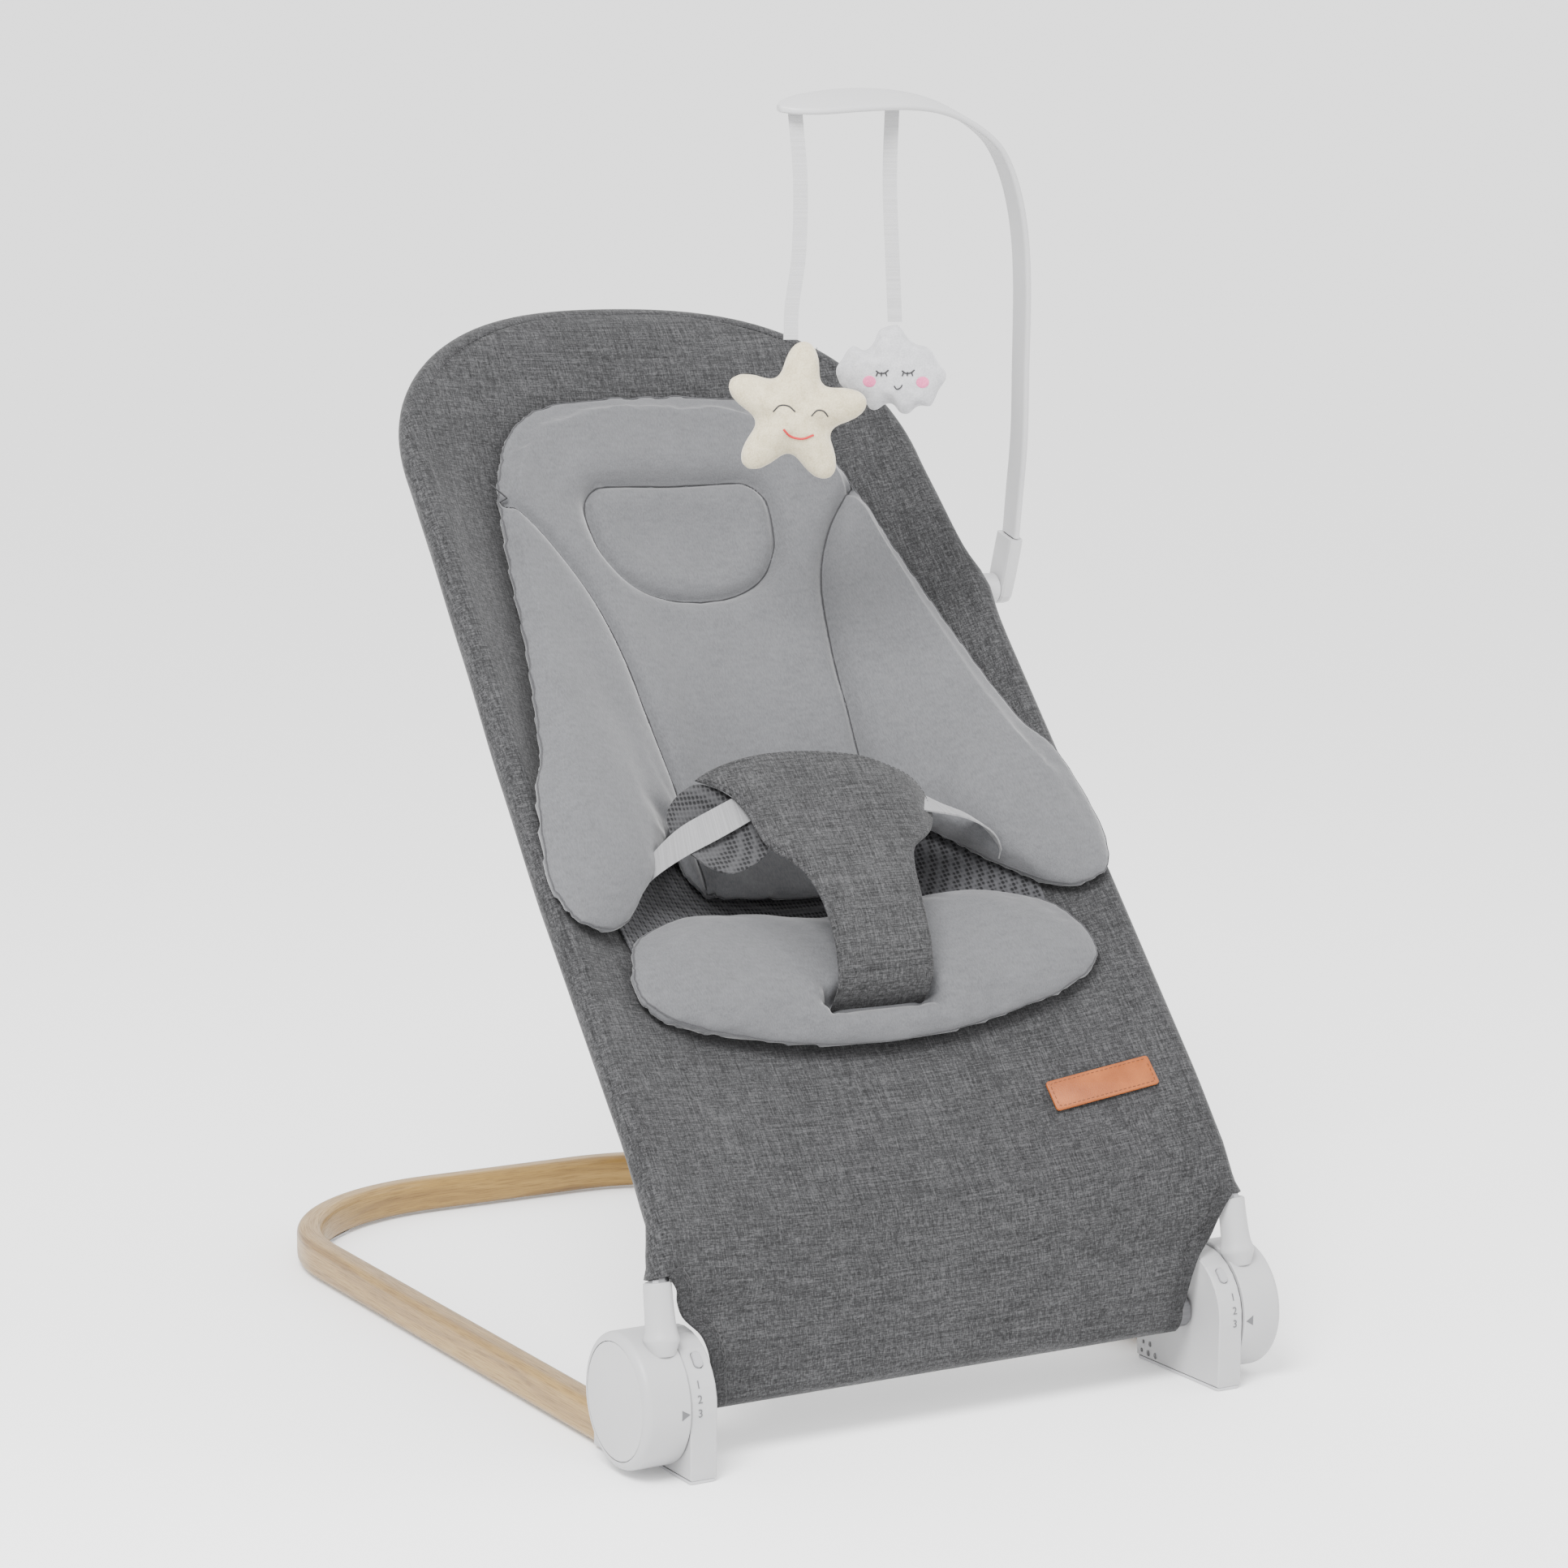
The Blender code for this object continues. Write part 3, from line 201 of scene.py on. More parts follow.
def puff(outline, centre, place, lower, upper, rings=(0.2, 0.4, 0.6, 0.77, 0.9, 0.97, 1.0)):
    """Closed pad: outline points (a, b) round a centre, heights from functions of (ratio, a, b)."""
    verts = [place(*centre, lower(0.0, *centre)), place(*centre, upper(0.0, *centre))]
    count = len(outline)
    for height in (lower, upper):
        for q in rings:
            for a, b in outline:
                u = centre[0] + (a - centre[0]) * q
                v = centre[1] + (b - centre[1]) * q
                verts.append(place(u, v, height(q, u, v)))
    faces = []
    for layer in range(2):
        start = 2 + layer * len(rings) * count
        for j in range(count):
            k = (j + 1) % count
            faces.append((layer, start + j, start + k))
            for r in range(len(rings) - 1):
                a = start + r * count
                faces.append((a + j, a + count + j, a + count + k, a + k))
    low = 2 + (len(rings) - 1) * count
    high = low + len(rings) * count
    for j in range(count):
        k = (j + 1) % count
        faces.append((low + j, low + k, high + k, high + j))
    return verts, faces


def smooth_line(keys, steps):
    """Catmull-Rom line through key points."""
    keys = [Vector(k) for k in keys]
    ends = [keys[0] * 2 - keys[1]] + keys + [keys[-1] * 2 - keys[-2]]
    line = []
    for i in range(1, len(ends) - 2):
        a, b, c, d = ends[i - 1:i + 3]
        for k in range(steps):
            t = k / steps
            line.append(0.5 * ((2 * b) + (c - a) * t + (2 * a - 5 * b + 4 * c - d) * t * t
                               + (3 * b - a - 3 * c + d) * t ** 3))
    line.append(keys[-1])
    return line


def ease(t):
    t = min(1.0, max(0.0, t))
    return t * t * (3.0 - 2.0 * t)


def rim(s):
    """Tube centreline at a station: half width and height off the plane."""
    if s > BOW_S:
        t = min(1.0, (s - BOW_S) / BOW_B)
        return BOW_A * (1.0 - t ** BOW_N) ** (1.0 / BOW_N), 0.0068 * (1.0 - t ** 4)
    keys = TUBE_KEYS
    if s <= keys[0][1]:
        return keys[0][0], keys[0][2]
    for i in range(len(keys) - 1):
        a, b = keys[i], keys[i + 1]
        if s <= b[1]:
            t = ease((s - a[1]) / (b[1] - a[1])) * 0.35 + (s - a[1]) / (b[1] - a[1]) * 0.65
            return a[0] + (b[0] - a[0]) * t, a[2] + (b[2] - a[2]) * t
    return keys[-1][0], keys[-1][2]


def sag(s):
    """Depth of the sling below its rim at a station: smooth through the keys, closing toward the head."""
    keys = SAG_KEYS
    top = 1.0 - ease((s - 0.42) / 0.235)
    if s <= keys[0][0]:
        return keys[0][1]
    for i in range(len(keys) - 1):
        if s <= keys[i + 1][0]:
            before, after = keys[max(i - 1, 0)], keys[min(i + 2, len(keys) - 1)]
            (s0, d0), (s1, d1) = keys[i], keys[i + 1]
            span = s1 - s0
            t = (s - s0) / span
            m0 = (d1 - before[1]) / (s1 - before[0]) * span
            m1 = (after[1] - d0) / (after[0] - s0) * span
            return top * (d0 * (2 * t ** 3 - 3 * t ** 2 + 1) + m0 * (t ** 3 - 2 * t ** 2 + t)
                          + d1 * (3 * t ** 2 - 2 * t ** 3) + m1 * (t ** 3 - t ** 2))
    return top * keys[-1][1]


def height(x, s):
    """Height of the middle of the cover off the sling plane."""
    half, off = rim(s)
    depth = sag(s)
    lean = math.atan2(2.0 * depth, half)
    leave = half - SLEEVE_R * math.sin(lean)
    x = abs(x)
    if x < leave:
        return off + SLEEVE_R * math.cos(lean) - depth * (1.0 - (x / leave) ** 2)
    if x < half:
        return off + math.sqrt(max(0.0, SLEEVE_R ** 2 - (half - x) ** 2))
    return off + SLEEVE_R


def sling(x, s, h=0.0):
    """World point at a height above the middle of the cover."""
    e = 0.0006
    dx = (height(x + e, s) - height(x - e, s)) / (2 * e)
    ds = (height(x, s + e) - height(x, s - e)) / (2 * e)
    n = (OFF - Vector((dx, 0.0, 0.0)) - ALONG * ds).normalized()
    return PLANE + Vector((x, 0.0, 0.0)) + ALONG * s + OFF * height(x, s) + n * h


def plane_point(x, s, off):
    return PLANE + Vector((x, 0.0, 0.0)) + ALONG * s + OFF * off


def ring_outline(half, steps=2):
    """Closed symmetric outline (x, s) from its right half, top centre to bottom centre."""
    keys = [(x, s, 0.0) for x, s in half]
    line = smooth_line(keys, steps)
    right = [(p.x, p.y) for p in line]
    right[0] = (0.0, right[0][1])
    right[-1] = (0.0, right[-1][1])
    return right + [(-x, s) for x, s in reversed(right[1:-1])]


# ---------------------------------------------------------------- node helpers
class Shade:
    """Small builder for a node material."""

    def __init__(self, name, rough=0.5, sheen=0.0, metal=0.0, coat=0.0, specular=0.5):
        self.mat = bpy.data.materials.new(name)
        self.mat.use_nodes = True
        self.tree = self.mat.node_tree
        self.out = self.tree.nodes["Principled BSDF"]
        self.out.inputs["Roughness"].default_value = rough
        self.out.inputs["Sheen Weight"].default_value = sheen
        self.out.inputs["Sheen Roughness"].default_value = 0.4
        self.out.inputs["Metallic"].default_value = metal
        self.out.inputs["Coat Weight"].default_value = coat
        self.out.inputs["Specular IOR Level"].default_value = specular

    def node(self, kind, inputs=(), **props):
        n = self.tree.nodes.new(kind)
        for key, value in props.items():
            setattr(n, key, value)
        for key, value in dict(inputs).items():
            if isinstance(value, bpy.types.NodeSocket):
                self.tree.links.new(value, n.inputs[key])
            else:
                n.inputs[key].default_value = value
        return n

    def coords(self, scale=(1, 1, 1), turn=(0, 0, 0), uv=None):
        if uv:
            source = self.node("ShaderNodeUVMap", uv_map=uv).outputs[0]
        else:
            source = self.node("ShaderNodeTexCoord").outputs["Object"]
            turned = self.node("ShaderNodeMapping", {"Vector": source, "Rotation": turn})
            source = turned.outputs[0]
        return self.node("ShaderNodeMapping", {"Vector": source, "Scale": scale}).outputs[0]

    def noise(self, vector, scale, detail=2.0, rough=0.5, distort=0.0):
        n = self.node("ShaderNodeTexNoise", {"Vector": vector, "Scale": scale, "Detail": detail,
                                             "Roughness": rough, "Distortion": distort})
        return n.outputs[0]

    def math(self, op, a, b=0.0, c=0.0):
        return self.node("ShaderNodeMath", {0: a, 1: b, 2: c}, operation=op).outputs[0]

    def ramp(self, fac, stops):
        n = self.node("ShaderNodeValToRGB", {"Fac": fac})
        elements = n.color_ramp.elements
        while len(elements) < len(stops):
            elements.new(0.5)
        for e, (at, colour) in zip(elements, stops):
            e.position = at
            e.color = (*colour, 1.0)
        return n.outputs[0]

    def mix(self, fac, a, b, mode="MIX"):
        n = self.node("ShaderNodeMix", data_type="RGBA", blend_type=mode)
        for key, value in ((0, fac), (6, a), (7, b)):
            if isinstance(value, bpy.types.NodeSocket):
                self.tree.links.new(value, n.inputs[key])
            elif key == 0:
                n.inputs[key].default_value = value
            else:
                n.inputs[key].default_value = (*value, 1.0)
        return n.outputs[2]

    def finish(self, colour=None, rough=None, bumps=()):
        if colour is not None:
            self.tree.links.new(colour, self.out.inputs["Base Color"])
        if rough is not None:
            self.tree.links.new(rough, self.out.inputs["Roughness"])
        normal = None
        for height_socket, distance, strength in bumps:
            inputs = {"Height": height_socket, "Distance": distance, "Strength": strength}
            if normal is not None:
                inputs["Normal"] = normal
            normal = self.node("ShaderNodeBump", inputs).outputs[0]
        if normal is not None:
            self.tree.links.new(normal, self.out.inputs["Normal"])
        return self.mat


TILT = (-SLOPE, 0.0, 0.0)


def melange(name, dark, mid, light, turn=TILT, fine=1.0):
    """Plain weave of mixed dark and light yarn, with slubs along both thread directions."""
    m = Shade(name, rough=0.92, sheen=0.15, specular=0.2)
    warp = m.noise(m.coords((1.0, 0.16, 0.3), turn), 1900.0 * fine, 2.0, 0.6)
    weft = m.noise(m.coords((0.16, 1.0, 0.3), turn), 1900.0 * fine, 2.0, 0.6)
    slub = m.noise(m.coords((0.035, 1.0, 0.3), turn), 900.0 * fine, 2.0, 0.5)
    slub2 = m.noise(m.coords((1.0, 0.035, 0.3), turn), 900.0 * fine, 2.0, 0.5)
    both = m.math("MULTIPLY", m.math("ADD", warp, weft), 0.5)
    streak = m.math("MULTIPLY", m.math("ADD", slub, slub2), 0.5)
    cloud = m.noise(m.coords((1, 1, 1), turn), 14.0, 2.0)
    total = m.math("ADD", m.math("MULTIPLY", both, 0.62), m.math("MULTIPLY", streak, 0.38))
    total = m.math("ADD", total, m.math("MULTIPLY", m.math("SUBTRACT", cloud, 0.5), 0.04))
    colour = m.ramp(total, ((0.40, dark), (0.50, mid), (0.60, light)))
    grain = m.coords((1.0, 1.0, 1.0), turn)
    weave = m.node("ShaderNodeTexVoronoi", {"Vector": grain, "Scale": 1500.0 * fine,
                                            "Randomness": 0.25}).outputs[0]
    return m.finish(colour, None, ((weave, 0.0004, 0.3), (total, 0.0008, 0.5)))


def jersey(name, tone, turn=TILT):
    """Fine heathered knit."""
    m = Shade(name, rough=0.9, sheen=0.35, specular=0.2)
    rows = m.noise(m.coords((1.0, 0.22, 1.0), turn), 1300.0, 2.0, 0.55)
    blotch = m.noise(m.coords((0.35, 1.0, 1.0), turn), 260.0, 3.0, 0.6)
    soft = m.noise(m.coords((1, 1, 1), turn), 22.0, 2.0)
    mixv = m.math("ADD", m.math("MULTIPLY", rows, 0.55), m.math("MULTIPLY", blotch, 0.30))
    mixv = m.math("ADD", mixv, m.math("MULTIPLY", soft, 0.15))
    low = tuple(v * 0.82 for v in tone)
    high = tuple(min(1.0, v * 1.16) for v in tone)
    colour = m.ramp(mixv, ((0.36, low), (0.5, tone), (0.64, high)))
    knit = m.node("ShaderNodeTexVoronoi", {"Vector": m.coords((1.0, 0.7, 1.0), turn), "Scale": 1200.0,
                                           "Randomness": 0.3}).outputs[0]
    return m.finish(colour, None, ((knit, 0.0004, 0.22), (rows, 0.0006, 0.25)))


def spacer_mesh(name, tone, hole, turn=TILT, scale=330.0):
    """Open spacer knit with rows of round holes."""
    m = Shade(name, rough=0.85, sheen=0.2, specular=0.3)
    cells = m.node("ShaderNodeTexVoronoi", {"Vector": m.coords((1.0, 0.8, 1.0), turn), "Scale": scale,
                                            "Randomness": 0.12}).outputs[0]
    fuzz = m.noise(m.coords((1, 1, 1), turn), 1500.0, 2.0)
    edge = m.math("ADD", cells, m.math("MULTIPLY", m.math("SUBTRACT", fuzz, 0.5), 0.16))
    colour = m.ramp(edge, ((0.30, hole), (0.44, tone), (0.70, tuple(v * 1.5 for v in tone))))
    return m.finish(colour, None, ((edge, 0.0016, 0.9),))


def tape(name, tone, pitch, turn=(0, 0, 0), axis=(0, 0, 1), amount=0.12, rough=0.8):
    """Ribbed woven tape."""
    m = Shade(name, rough=rough, sheen=0.2, specular=0.3)
    scale = tuple(1.0 if a else 0.02 for a in axis)
    ribs = m.noise(m.coords(scale, turn), 1.0 / pitch, 1.0, 0.4)
    fine = m.noise(m.coords((1, 1, 1), turn), 1600.0, 2.0)
    both = m.math("ADD", m.math("MULTIPLY", ribs, 0.7), m.math("MULTIPLY", fine, 0.3))
    colour = m.ramp(both, ((0.35, tuple(v * (1 - amount) for v in tone)),
                           (0.65, tuple(min(1.0, v * (1 + amount)) for v in tone))))
    return m.finish(colour, None, ((both, 0.0007, 0.5),))


def plastic(name, tone, rough=0.42, spread=0.03):
    """Moulded plastic with a faint texture and tone drift."""
    m = Shade(name, rough=rough, specular=0.45)
    drift = m.noise(m.coords(), 18.0, 2.0)
    fine = m.noise(m.coords(), 1400.0, 3.0)
    colour = m.ramp(drift, ((0.3, tuple(v * (1 - spread) for v in tone)),
                            (0.7, tuple(min(1.0, v * (1 + spread)) for v in tone))))
    r = m.node("ShaderNodeMapRange", {"Value": fine, 1: 0.3, 2: 0.7, 3: rough - 0.05,
                                      4: rough + 0.08}).outputs[0]
    return m.finish(colour, r, ((fine, 0.0003, 0.10),))


def plush(name, tone, shade):
    """Short pile fabric."""
    m = Shade(name, rough=0.95, sheen=0.6, specular=0.15)
    fine = m.noise(m.coords(), 900.0, 4.0, 0.65)
    nap = m.noise(m.coords(), 150.0, 3.0, 0.6)
    both = m.math("ADD", m.math("MULTIPLY", fine, 0.6), m.math("MULTIPLY", nap, 0.4))
    colour = m.ramp(both, ((0.35, shade), (0.6, tone)))
    return m.finish(colour, None, ((fine, 0.0010, 0.45), (nap, 0.0012, 0.3)))


def metal(name, tone, rough=0.35):
    m = Shade(name, rough=rough, metal=1.0)
    brushed = m.noise(m.coords((0.05, 1.0, 1.0)), 900.0, 3.0)
    colour = m.ramp(brushed, ((0.3, tuple(v * 0.8 for v in tone)), (0.7, tone)))
    return m.finish(colour, None, ((brushed, 0.0002, 0.15),))


def thread(name, tone):
    m = Shade(name, rough=0.7, sheen=0.2, specular=0.3)
    twist = m.noise(m.coords(), 2200.0, 2.0)
    colour = m.ramp(twist, ((0.35, tuple(v * 0.75 for v in tone)), (0.65, tone)))
    return m.finish(colour, None, ((twist, 0.0004, 0.4),))


def oak(name):
    """Lacquered oak veneer with grain running along the rail."""
    m = Shade(name, rough=0.40, coat=0.15, specular=0.45)
    warp = m.noise(m.coords((5.0, 40.0, 1.0), uv="grain"), 1.0, 2.0, 0.5)
    along = m.coords((2.2, 95.0, 1.0), uv="grain")
    shifted = m.node("ShaderNodeVectorMath",
                     {0: along,
                      1: m.node("ShaderNodeCombineXYZ",
                                {"X": 0.0, "Y": m.math("MULTIPLY", warp, 3.0)}).outputs[0]},
                     operation="ADD").outputs[0]
    figure = m.noise(shifted, 1.0, 4.0, 0.6, 0.4)
    pores = m.noise(m.coords((38.0, 1500.0, 1.0), uv="grain"), 1.0, 3.0, 0.65)
    band = m.noise(m.coords((3.0, 30.0, 1.0), uv="grain"), 1.0, 2.0)
    base = m.ramp(figure, ((0.30, (0.140, 0.074, 0.015)), (0.48, (0.230, 0.134, 0.028)),
                           (0.70, (0.310, 0.192, 0.047))))
    pore = m.ramp(pores, ((0.40, (0.58, 0.52, 0.46)), (0.50, (1.0, 1.0, 1.0))))
    colour = m.mix(0.75, base, pore, "MULTIPLY")
    colour = m.mix(0.35, colour, m.ramp(band, ((0.35, (0.80, 0.78, 0.74)), (0.65, (1.0, 1.0, 1.0)))),
                   "MULTIPLY")
    r = m.node("ShaderNodeMapRange", {"Value": pores, 1: 0.35, 2: 0.6, 3: 0.55, 4: 0.36}).outputs[0]
    return m.finish(colour, r, ((pores, 0.0004, 0.35), (figure, 0.0006, 0.15)))


def leather(name):
    m = Shade(name, rough=0.55, specular=0.35)
    cells = m.node("ShaderNodeTexVoronoi", {"Vector": m.coords(), "Scale": 1100.0}).outputs[0]
    drift = m.noise(m.coords(), 60.0, 3.0)
    colour = m.ramp(drift, ((0.3, (0.21, 0.052, 0.009)), (0.7, (0.30, 0.082, 0.016))))
    return m.finish(colour, None, ((cells, 0.0005, 0.3),))


MAT = {
    "cover": melange("cover_melange", (0.010, 0.010, 0.0105), (0.030, 0.030, 0.0312),
                     (0.068, 0.068, 0.070)),
    "binding": melange("binding_melange", (0.008, 0.008, 0.0085), (0.024, 0.024, 0.025),
                       (0.055, 0.055, 0.057), TILT, 1.2),
    "harness": melange("harness_melange", (0.011, 0.011, 0.0115), (0.033, 0.033, 0.034),
                       (0.072, 0.072, 0.074)),
    "jersey": jersey("insert_jersey", (0.096, 0.097, 0.102)),
    # darker copy of the insert jersey for the cushion piping: painted shade along the cushion edge seam
    "jersey_edge_shade": jersey("jersey_edge_painted_shade", (0.050, 0.050, 0.053)),
    "mesh": spacer_mesh("dark_spacer", (0.040, 0.040, 0.043), (0.006, 0.006, 0.007)),
    "mesh_grey": spacer_mesh("grey_spacer", (0.034, 0.034, 0.036), (0.006, 0.006, 0.007)),
    "webbing": tape("webbing_grey", (0.20, 0.20, 0.205), 0.0012, TILT, (1, 0, 0)),
    "ribbon": tape("toy_tape", (0.38, 0.38, 0.385), 0.0011, (0, 0, 0), (0, 0, 1), 0.06),
    "hub": plastic("hub_moulding", (0.36, 0.36, 0.365), 0.42),
    "cap": plastic("cap_moulding", (0.38, 0.38, 0.385), 0.36),
    "button": plastic("button_moulding", (0.30, 0.30, 0.31), 0.40),
    "print": plastic("marker_print", (0.10, 0.10, 0.105), 0.55),
    "arch": plastic("arch_moulding", (0.43, 0.43, 0.435), 0.35, 0.02),
    "rubber": plastic("foot_rubber_skin", (0.42, 0.42, 0.43), 0.75),
    "steel": metal("dark_tube", (0.25, 0.25, 0.26)),
    "oak": oak("rail_oak"),
    "leather": leather("tag_leather"),
    "star": plush("star_pile", (0.58, 0.515, 0.365), (0.40, 0.345, 0.225)),
    "cloud": plush("cloud_pile", (0.47, 0.47, 0.485), (0.33, 0.33, 0.345)),
    # dark thread for the stitches and the toy faces; the same material also paints the crease shade along
    # the insert's seam grooves
    "dark_thread_and_groove_shade": thread("dark_thread_and_groove_shade", (0.030, 0.030, 0.032)),
    "grey_thread": thread("grey_thread", (0.16, 0.16, 0.165)),
    "brown_thread": thread("brown_thread", (0.14, 0.045, 0.018)),
    "red_thread": thread("red_thread", (0.50, 0.020, 0.025)),
    "pink": plush("cheek_pile", (0.72, 0.17, 0.33), (0.55, 0.11, 0.24)),
}


# ---------------------------------------------------------------- mesh helpers
STITCH_STEP = 0.0042        # seam stitches: spacing, length and thread radius
STITCH_LENGTH = 0.0030
STITCH_R = 0.00028


def soften_edges(mesh, smooth, weld=False):
    """Smooth shading across edges flatter than an angle in degrees."""
    bm = bmesh.new()
    bm.from_mesh(mesh)
    if weld:
        bmesh.ops.remove_doubles(bm, verts=bm.verts, dist=1e-6)
        bmesh.ops.recalc_face_normals(bm, faces=bm.faces)
    for edge in bm.edges:
        edge.smooth = len(edge.link_faces) == 2 and edge.calc_face_angle(0.0) < math.radians(smooth)
    for face in bm.faces:
        face.smooth = True
    bm.to_mesh(mesh)
    bm.free()


def piece(name, verts, faces, material, body, nodes=(), smooth=50.0, weld=True):
    """A new mesh object that rides on a body and stands for CAD nodes."""
    mesh = bpy.data.meshes.new(name)
    mesh.from_pydata([tuple(v) for v in verts], [], faces)
    soften_edges(mesh, smooth, weld)
    ob = bpy.data.objects.new(name, mesh)
    bpy.context.scene.collection.objects.link(ob)
    mesh.materials.append(MAT[material])
    if body:
        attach(ob, body)
    if nodes:
        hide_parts(*nodes)
    return ob


def add_part(verts, faces, part):
    """Append a part's vertices and faces to growing lists."""
    v, f = part
    faces += [tuple(i + len(verts) for i in face) for face in f]
    verts += v


def surface_tree(ob):
    return BVHTree.FromPolygons([v.co for v in ob.data.vertices],
                                [tuple(p.vertices) for p in ob.data.polygons])


def distances(points, line):
    """Least distance of 2-D points from a polyline."""
    p = np.asarray(points, float)
    a = np.asarray(line[:-1], float)
    d = np.asarray(line[1:], float) - a
    t = np.einsum("nmk,mk->nm", p[:, None, :] - a[None], d) / np.maximum(1e-12, (d * d).sum(1))
    t = np.clip(t, 0.0, 1.0)
    q = a[None] + d[None] * t[..., None]
    return np.sqrt(((p[:, None, :] - q) ** 2).sum(2)).min(1)


def distance(x, s, line):
    return float(distances([(x, s)], line)[0])


def fine(keys, steps=8):
    """Smooth 2-D line through keys."""
    return [(p.x, p.y) for p in smooth_line([(k[0], k[1], 0.0) for k in keys], steps)]


def mirror(line):
    return [(-x, s) for x, s in line]


def dashes(points, step, length, radius):
    """Stitches: short capsules along a line of world points."""
    verts, faces = [], []
    lengths = [0.0]
    for a, b in zip(points, points[1:]):
        lengths.append(lengths[-1] + (b - a).length)

    def at(d):
        for i in range(len(points) - 1):
            if d <= lengths[i + 1] or i == len(points) - 2:
                return points[i].lerp(points[i + 1],
                                      (d - lengths[i]) / max(1e-9, lengths[i + 1] - lengths[i]))
    d = step * 0.5
    while d + length < lengths[-1]:
        a, b = at(d), at(d + length)
        add_part(verts, faces, tube([a, a.lerp(b, 0.18), a.lerp(b, 0.82), b],
                                    [radius * 0.35, radius, radius, radius * 0.35], 5))
        d += step
    return verts, faces


def stitches(name, points, material, step=STITCH_STEP, length=STITCH_LENGTH, radius=STITCH_R):
    """A sewn line of stitches on the seat."""
    v, f = dashes(points, step, length, radius)
    return piece(name, v, f, material, "seat", (), weld=False)


def inflate(ob, voxel, pressure, cap, frames=20):
    """Stuff a closed cloth form with a short pressure simulation, then keep the result."""
    copy = ob.copy()
    copy.data = ob.data.copy()
    copy.name = "sim_copy"
    bpy.context.scene.collection.objects.link(copy)
    copy.parent = None
    copy.matrix_world.identity()
    bpy.context.view_layer.objects.active = copy
    for o in bpy.context.selected_objects:
        o.select_set(False)
    copy.select_set(True)
    remesh = copy.modifiers.new("remesh", "REMESH")
    remesh.mode = "VOXEL"
    remesh.voxel_size = voxel
    bpy.ops.object.modifier_apply(modifier=remesh.name)
    rest = np.array([v.co for v in copy.data.vertices])
    cloth = copy.modifiers.new("cloth", "CLOTH")
    cloth.settings.use_pressure = True
    cloth.settings.uniform_pressure_force = pressure
    cloth.settings.effector_weights.gravity = 0.0
    cloth.settings.quality = 5
    cloth.settings.tension_stiffness = 12.0
    cloth.settings.compression_stiffness = 12.0
    cloth.settings.bending_stiffness = 0.4
    cloth.point_cache.frame_start = 1
    cloth.point_cache.frame_end = frames
    for f in range(1, frames + 1):
        bpy.context.scene.frame_set(f)
    graph = bpy.context.evaluated_depsgraph_get()
    moved = np.array([v.co for v in copy.evaluated_get(graph).data.vertices])
    copy.modifiers.remove(cloth)
    shift = moved - rest
    size = np.linalg.norm(shift, axis=1)
    shift *= np.minimum(1.0, cap / np.maximum(size, 1e-9))[:, None]
    for v, p in zip(copy.data.vertices, rest + shift):
        v.co = p
    bpy.context.scene.frame_set(1)
    sub = copy.modifiers.new("sub", "SUBSURF")
    sub.levels = 1
    sub.render_levels = 1
    bpy.ops.object.modifier_apply(modifier=sub.name)
    ob.data = copy.data
    bpy.data.objects.remove(copy)
    for p in ob.data.polygons:
        p.use_smooth = True
    ob.data.update()


def sling_xy(p):
    """Plane coordinates of a world point."""
    d = p - PLANE
    return d.x, d.dot(ALONG), d.dot(OFF)


# ---------------------------------------------------------------- hard parts that carry over
for names, material in (
        (("housing_left", "housing_right", "rail_socket_left", "rail_socket_right"), "hub"),
        (("drum_left", "drum_right"), "hub"), (("hub_cap_left", "hub_cap_right"), "cap"),
        (("button_left", "button_right"), "button"), (("arch_clamp", "arch_elbow"), "arch"),
        (("front_foot_left", "front_foot_right", "rear_foot_left", "rear_foot_right"), "rubber"),
        (("rail_dowel_left", "rail_dowel_right", "button_spring_left", "button_spring_right", "axle_left",
          "axle_right", "lock_ring_left", "lock_ring_right", "cross_bar", "side_tube_left",
          "side_tube_right",
          "top_bow", "pivot_pin"), "steel")):
    for name in names:
        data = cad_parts[name].data
        for i in range(len(data.materials)):
            data.materials[i] = MAT[material]


# ---------------------------------------------------------------- floor rail
def make_rail():
    half = RAIL_OUT - RAIL_W / 2
    back = BACK_Y - RAIL_W / 2
    radius = RAIL_CORNER - RAIL_W / 2
    left = [Vector((-half, RAIL_START + k * 0.02, 0.0)) for k in range(23)]
    left = [p for p in left if p.y < back - radius - 0.005]
    for k in range(25):
        a = math.radians(180.0 - 90.0 * k / 24)
        left.append(Vector((-half + radius + radius * math.cos(a), back - radius + radius * math.sin(a),
                            0.0)))
    path = left + [Vector((-p.x, p.y, 0.0)) for p in reversed(left)]
    section = rounded(RAIL_W, RAIL_TOP - FOOT_T - GAP, 0.0055, 5)
    mid_z = (RAIL_TOP + FOOT_T + GAP) / 2
    around = [0.0]
    for i in range(len(section)):
        a, b = section[i], section[(i + 1) % len(section)]
        around.append(around[-1] + math.hypot(b[0] - a[0], b[1] - a[1]))
    rings, travel = [], [0.0]
    for i, p in enumerate(path):
        t = tangent(path, i)
        out = Vector((-t.y, t.x, 0.0))
        rings.append([p + out * a + UP * (mid_z + b) for a, b in section])
        if i:
            travel.append(travel[-1] + (p - path[i - 1]).length)
    verts, faces = loft(rings)
    ob = piece("rail_wood", verts, faces, "oak", "base", ("base_rail",), 40.0, weld=False)
    layer = ob.data.uv_layers.new(name="grain")
    count = len(section)
    for poly in ob.data.polygons:
        cols = [ob.data.loops[i].vertex_index % count for i in poly.loop_indices]
        wrapped = max(cols) - min(cols) > 1
        for i in poly.loop_indices:
            v = ob.data.loops[i].vertex_index
            j = v % count
            across = around[count] if wrapped and j == 0 else around[j]
            layer.data[i].uv = (travel[v // count], across)
    return ob


make_rail()


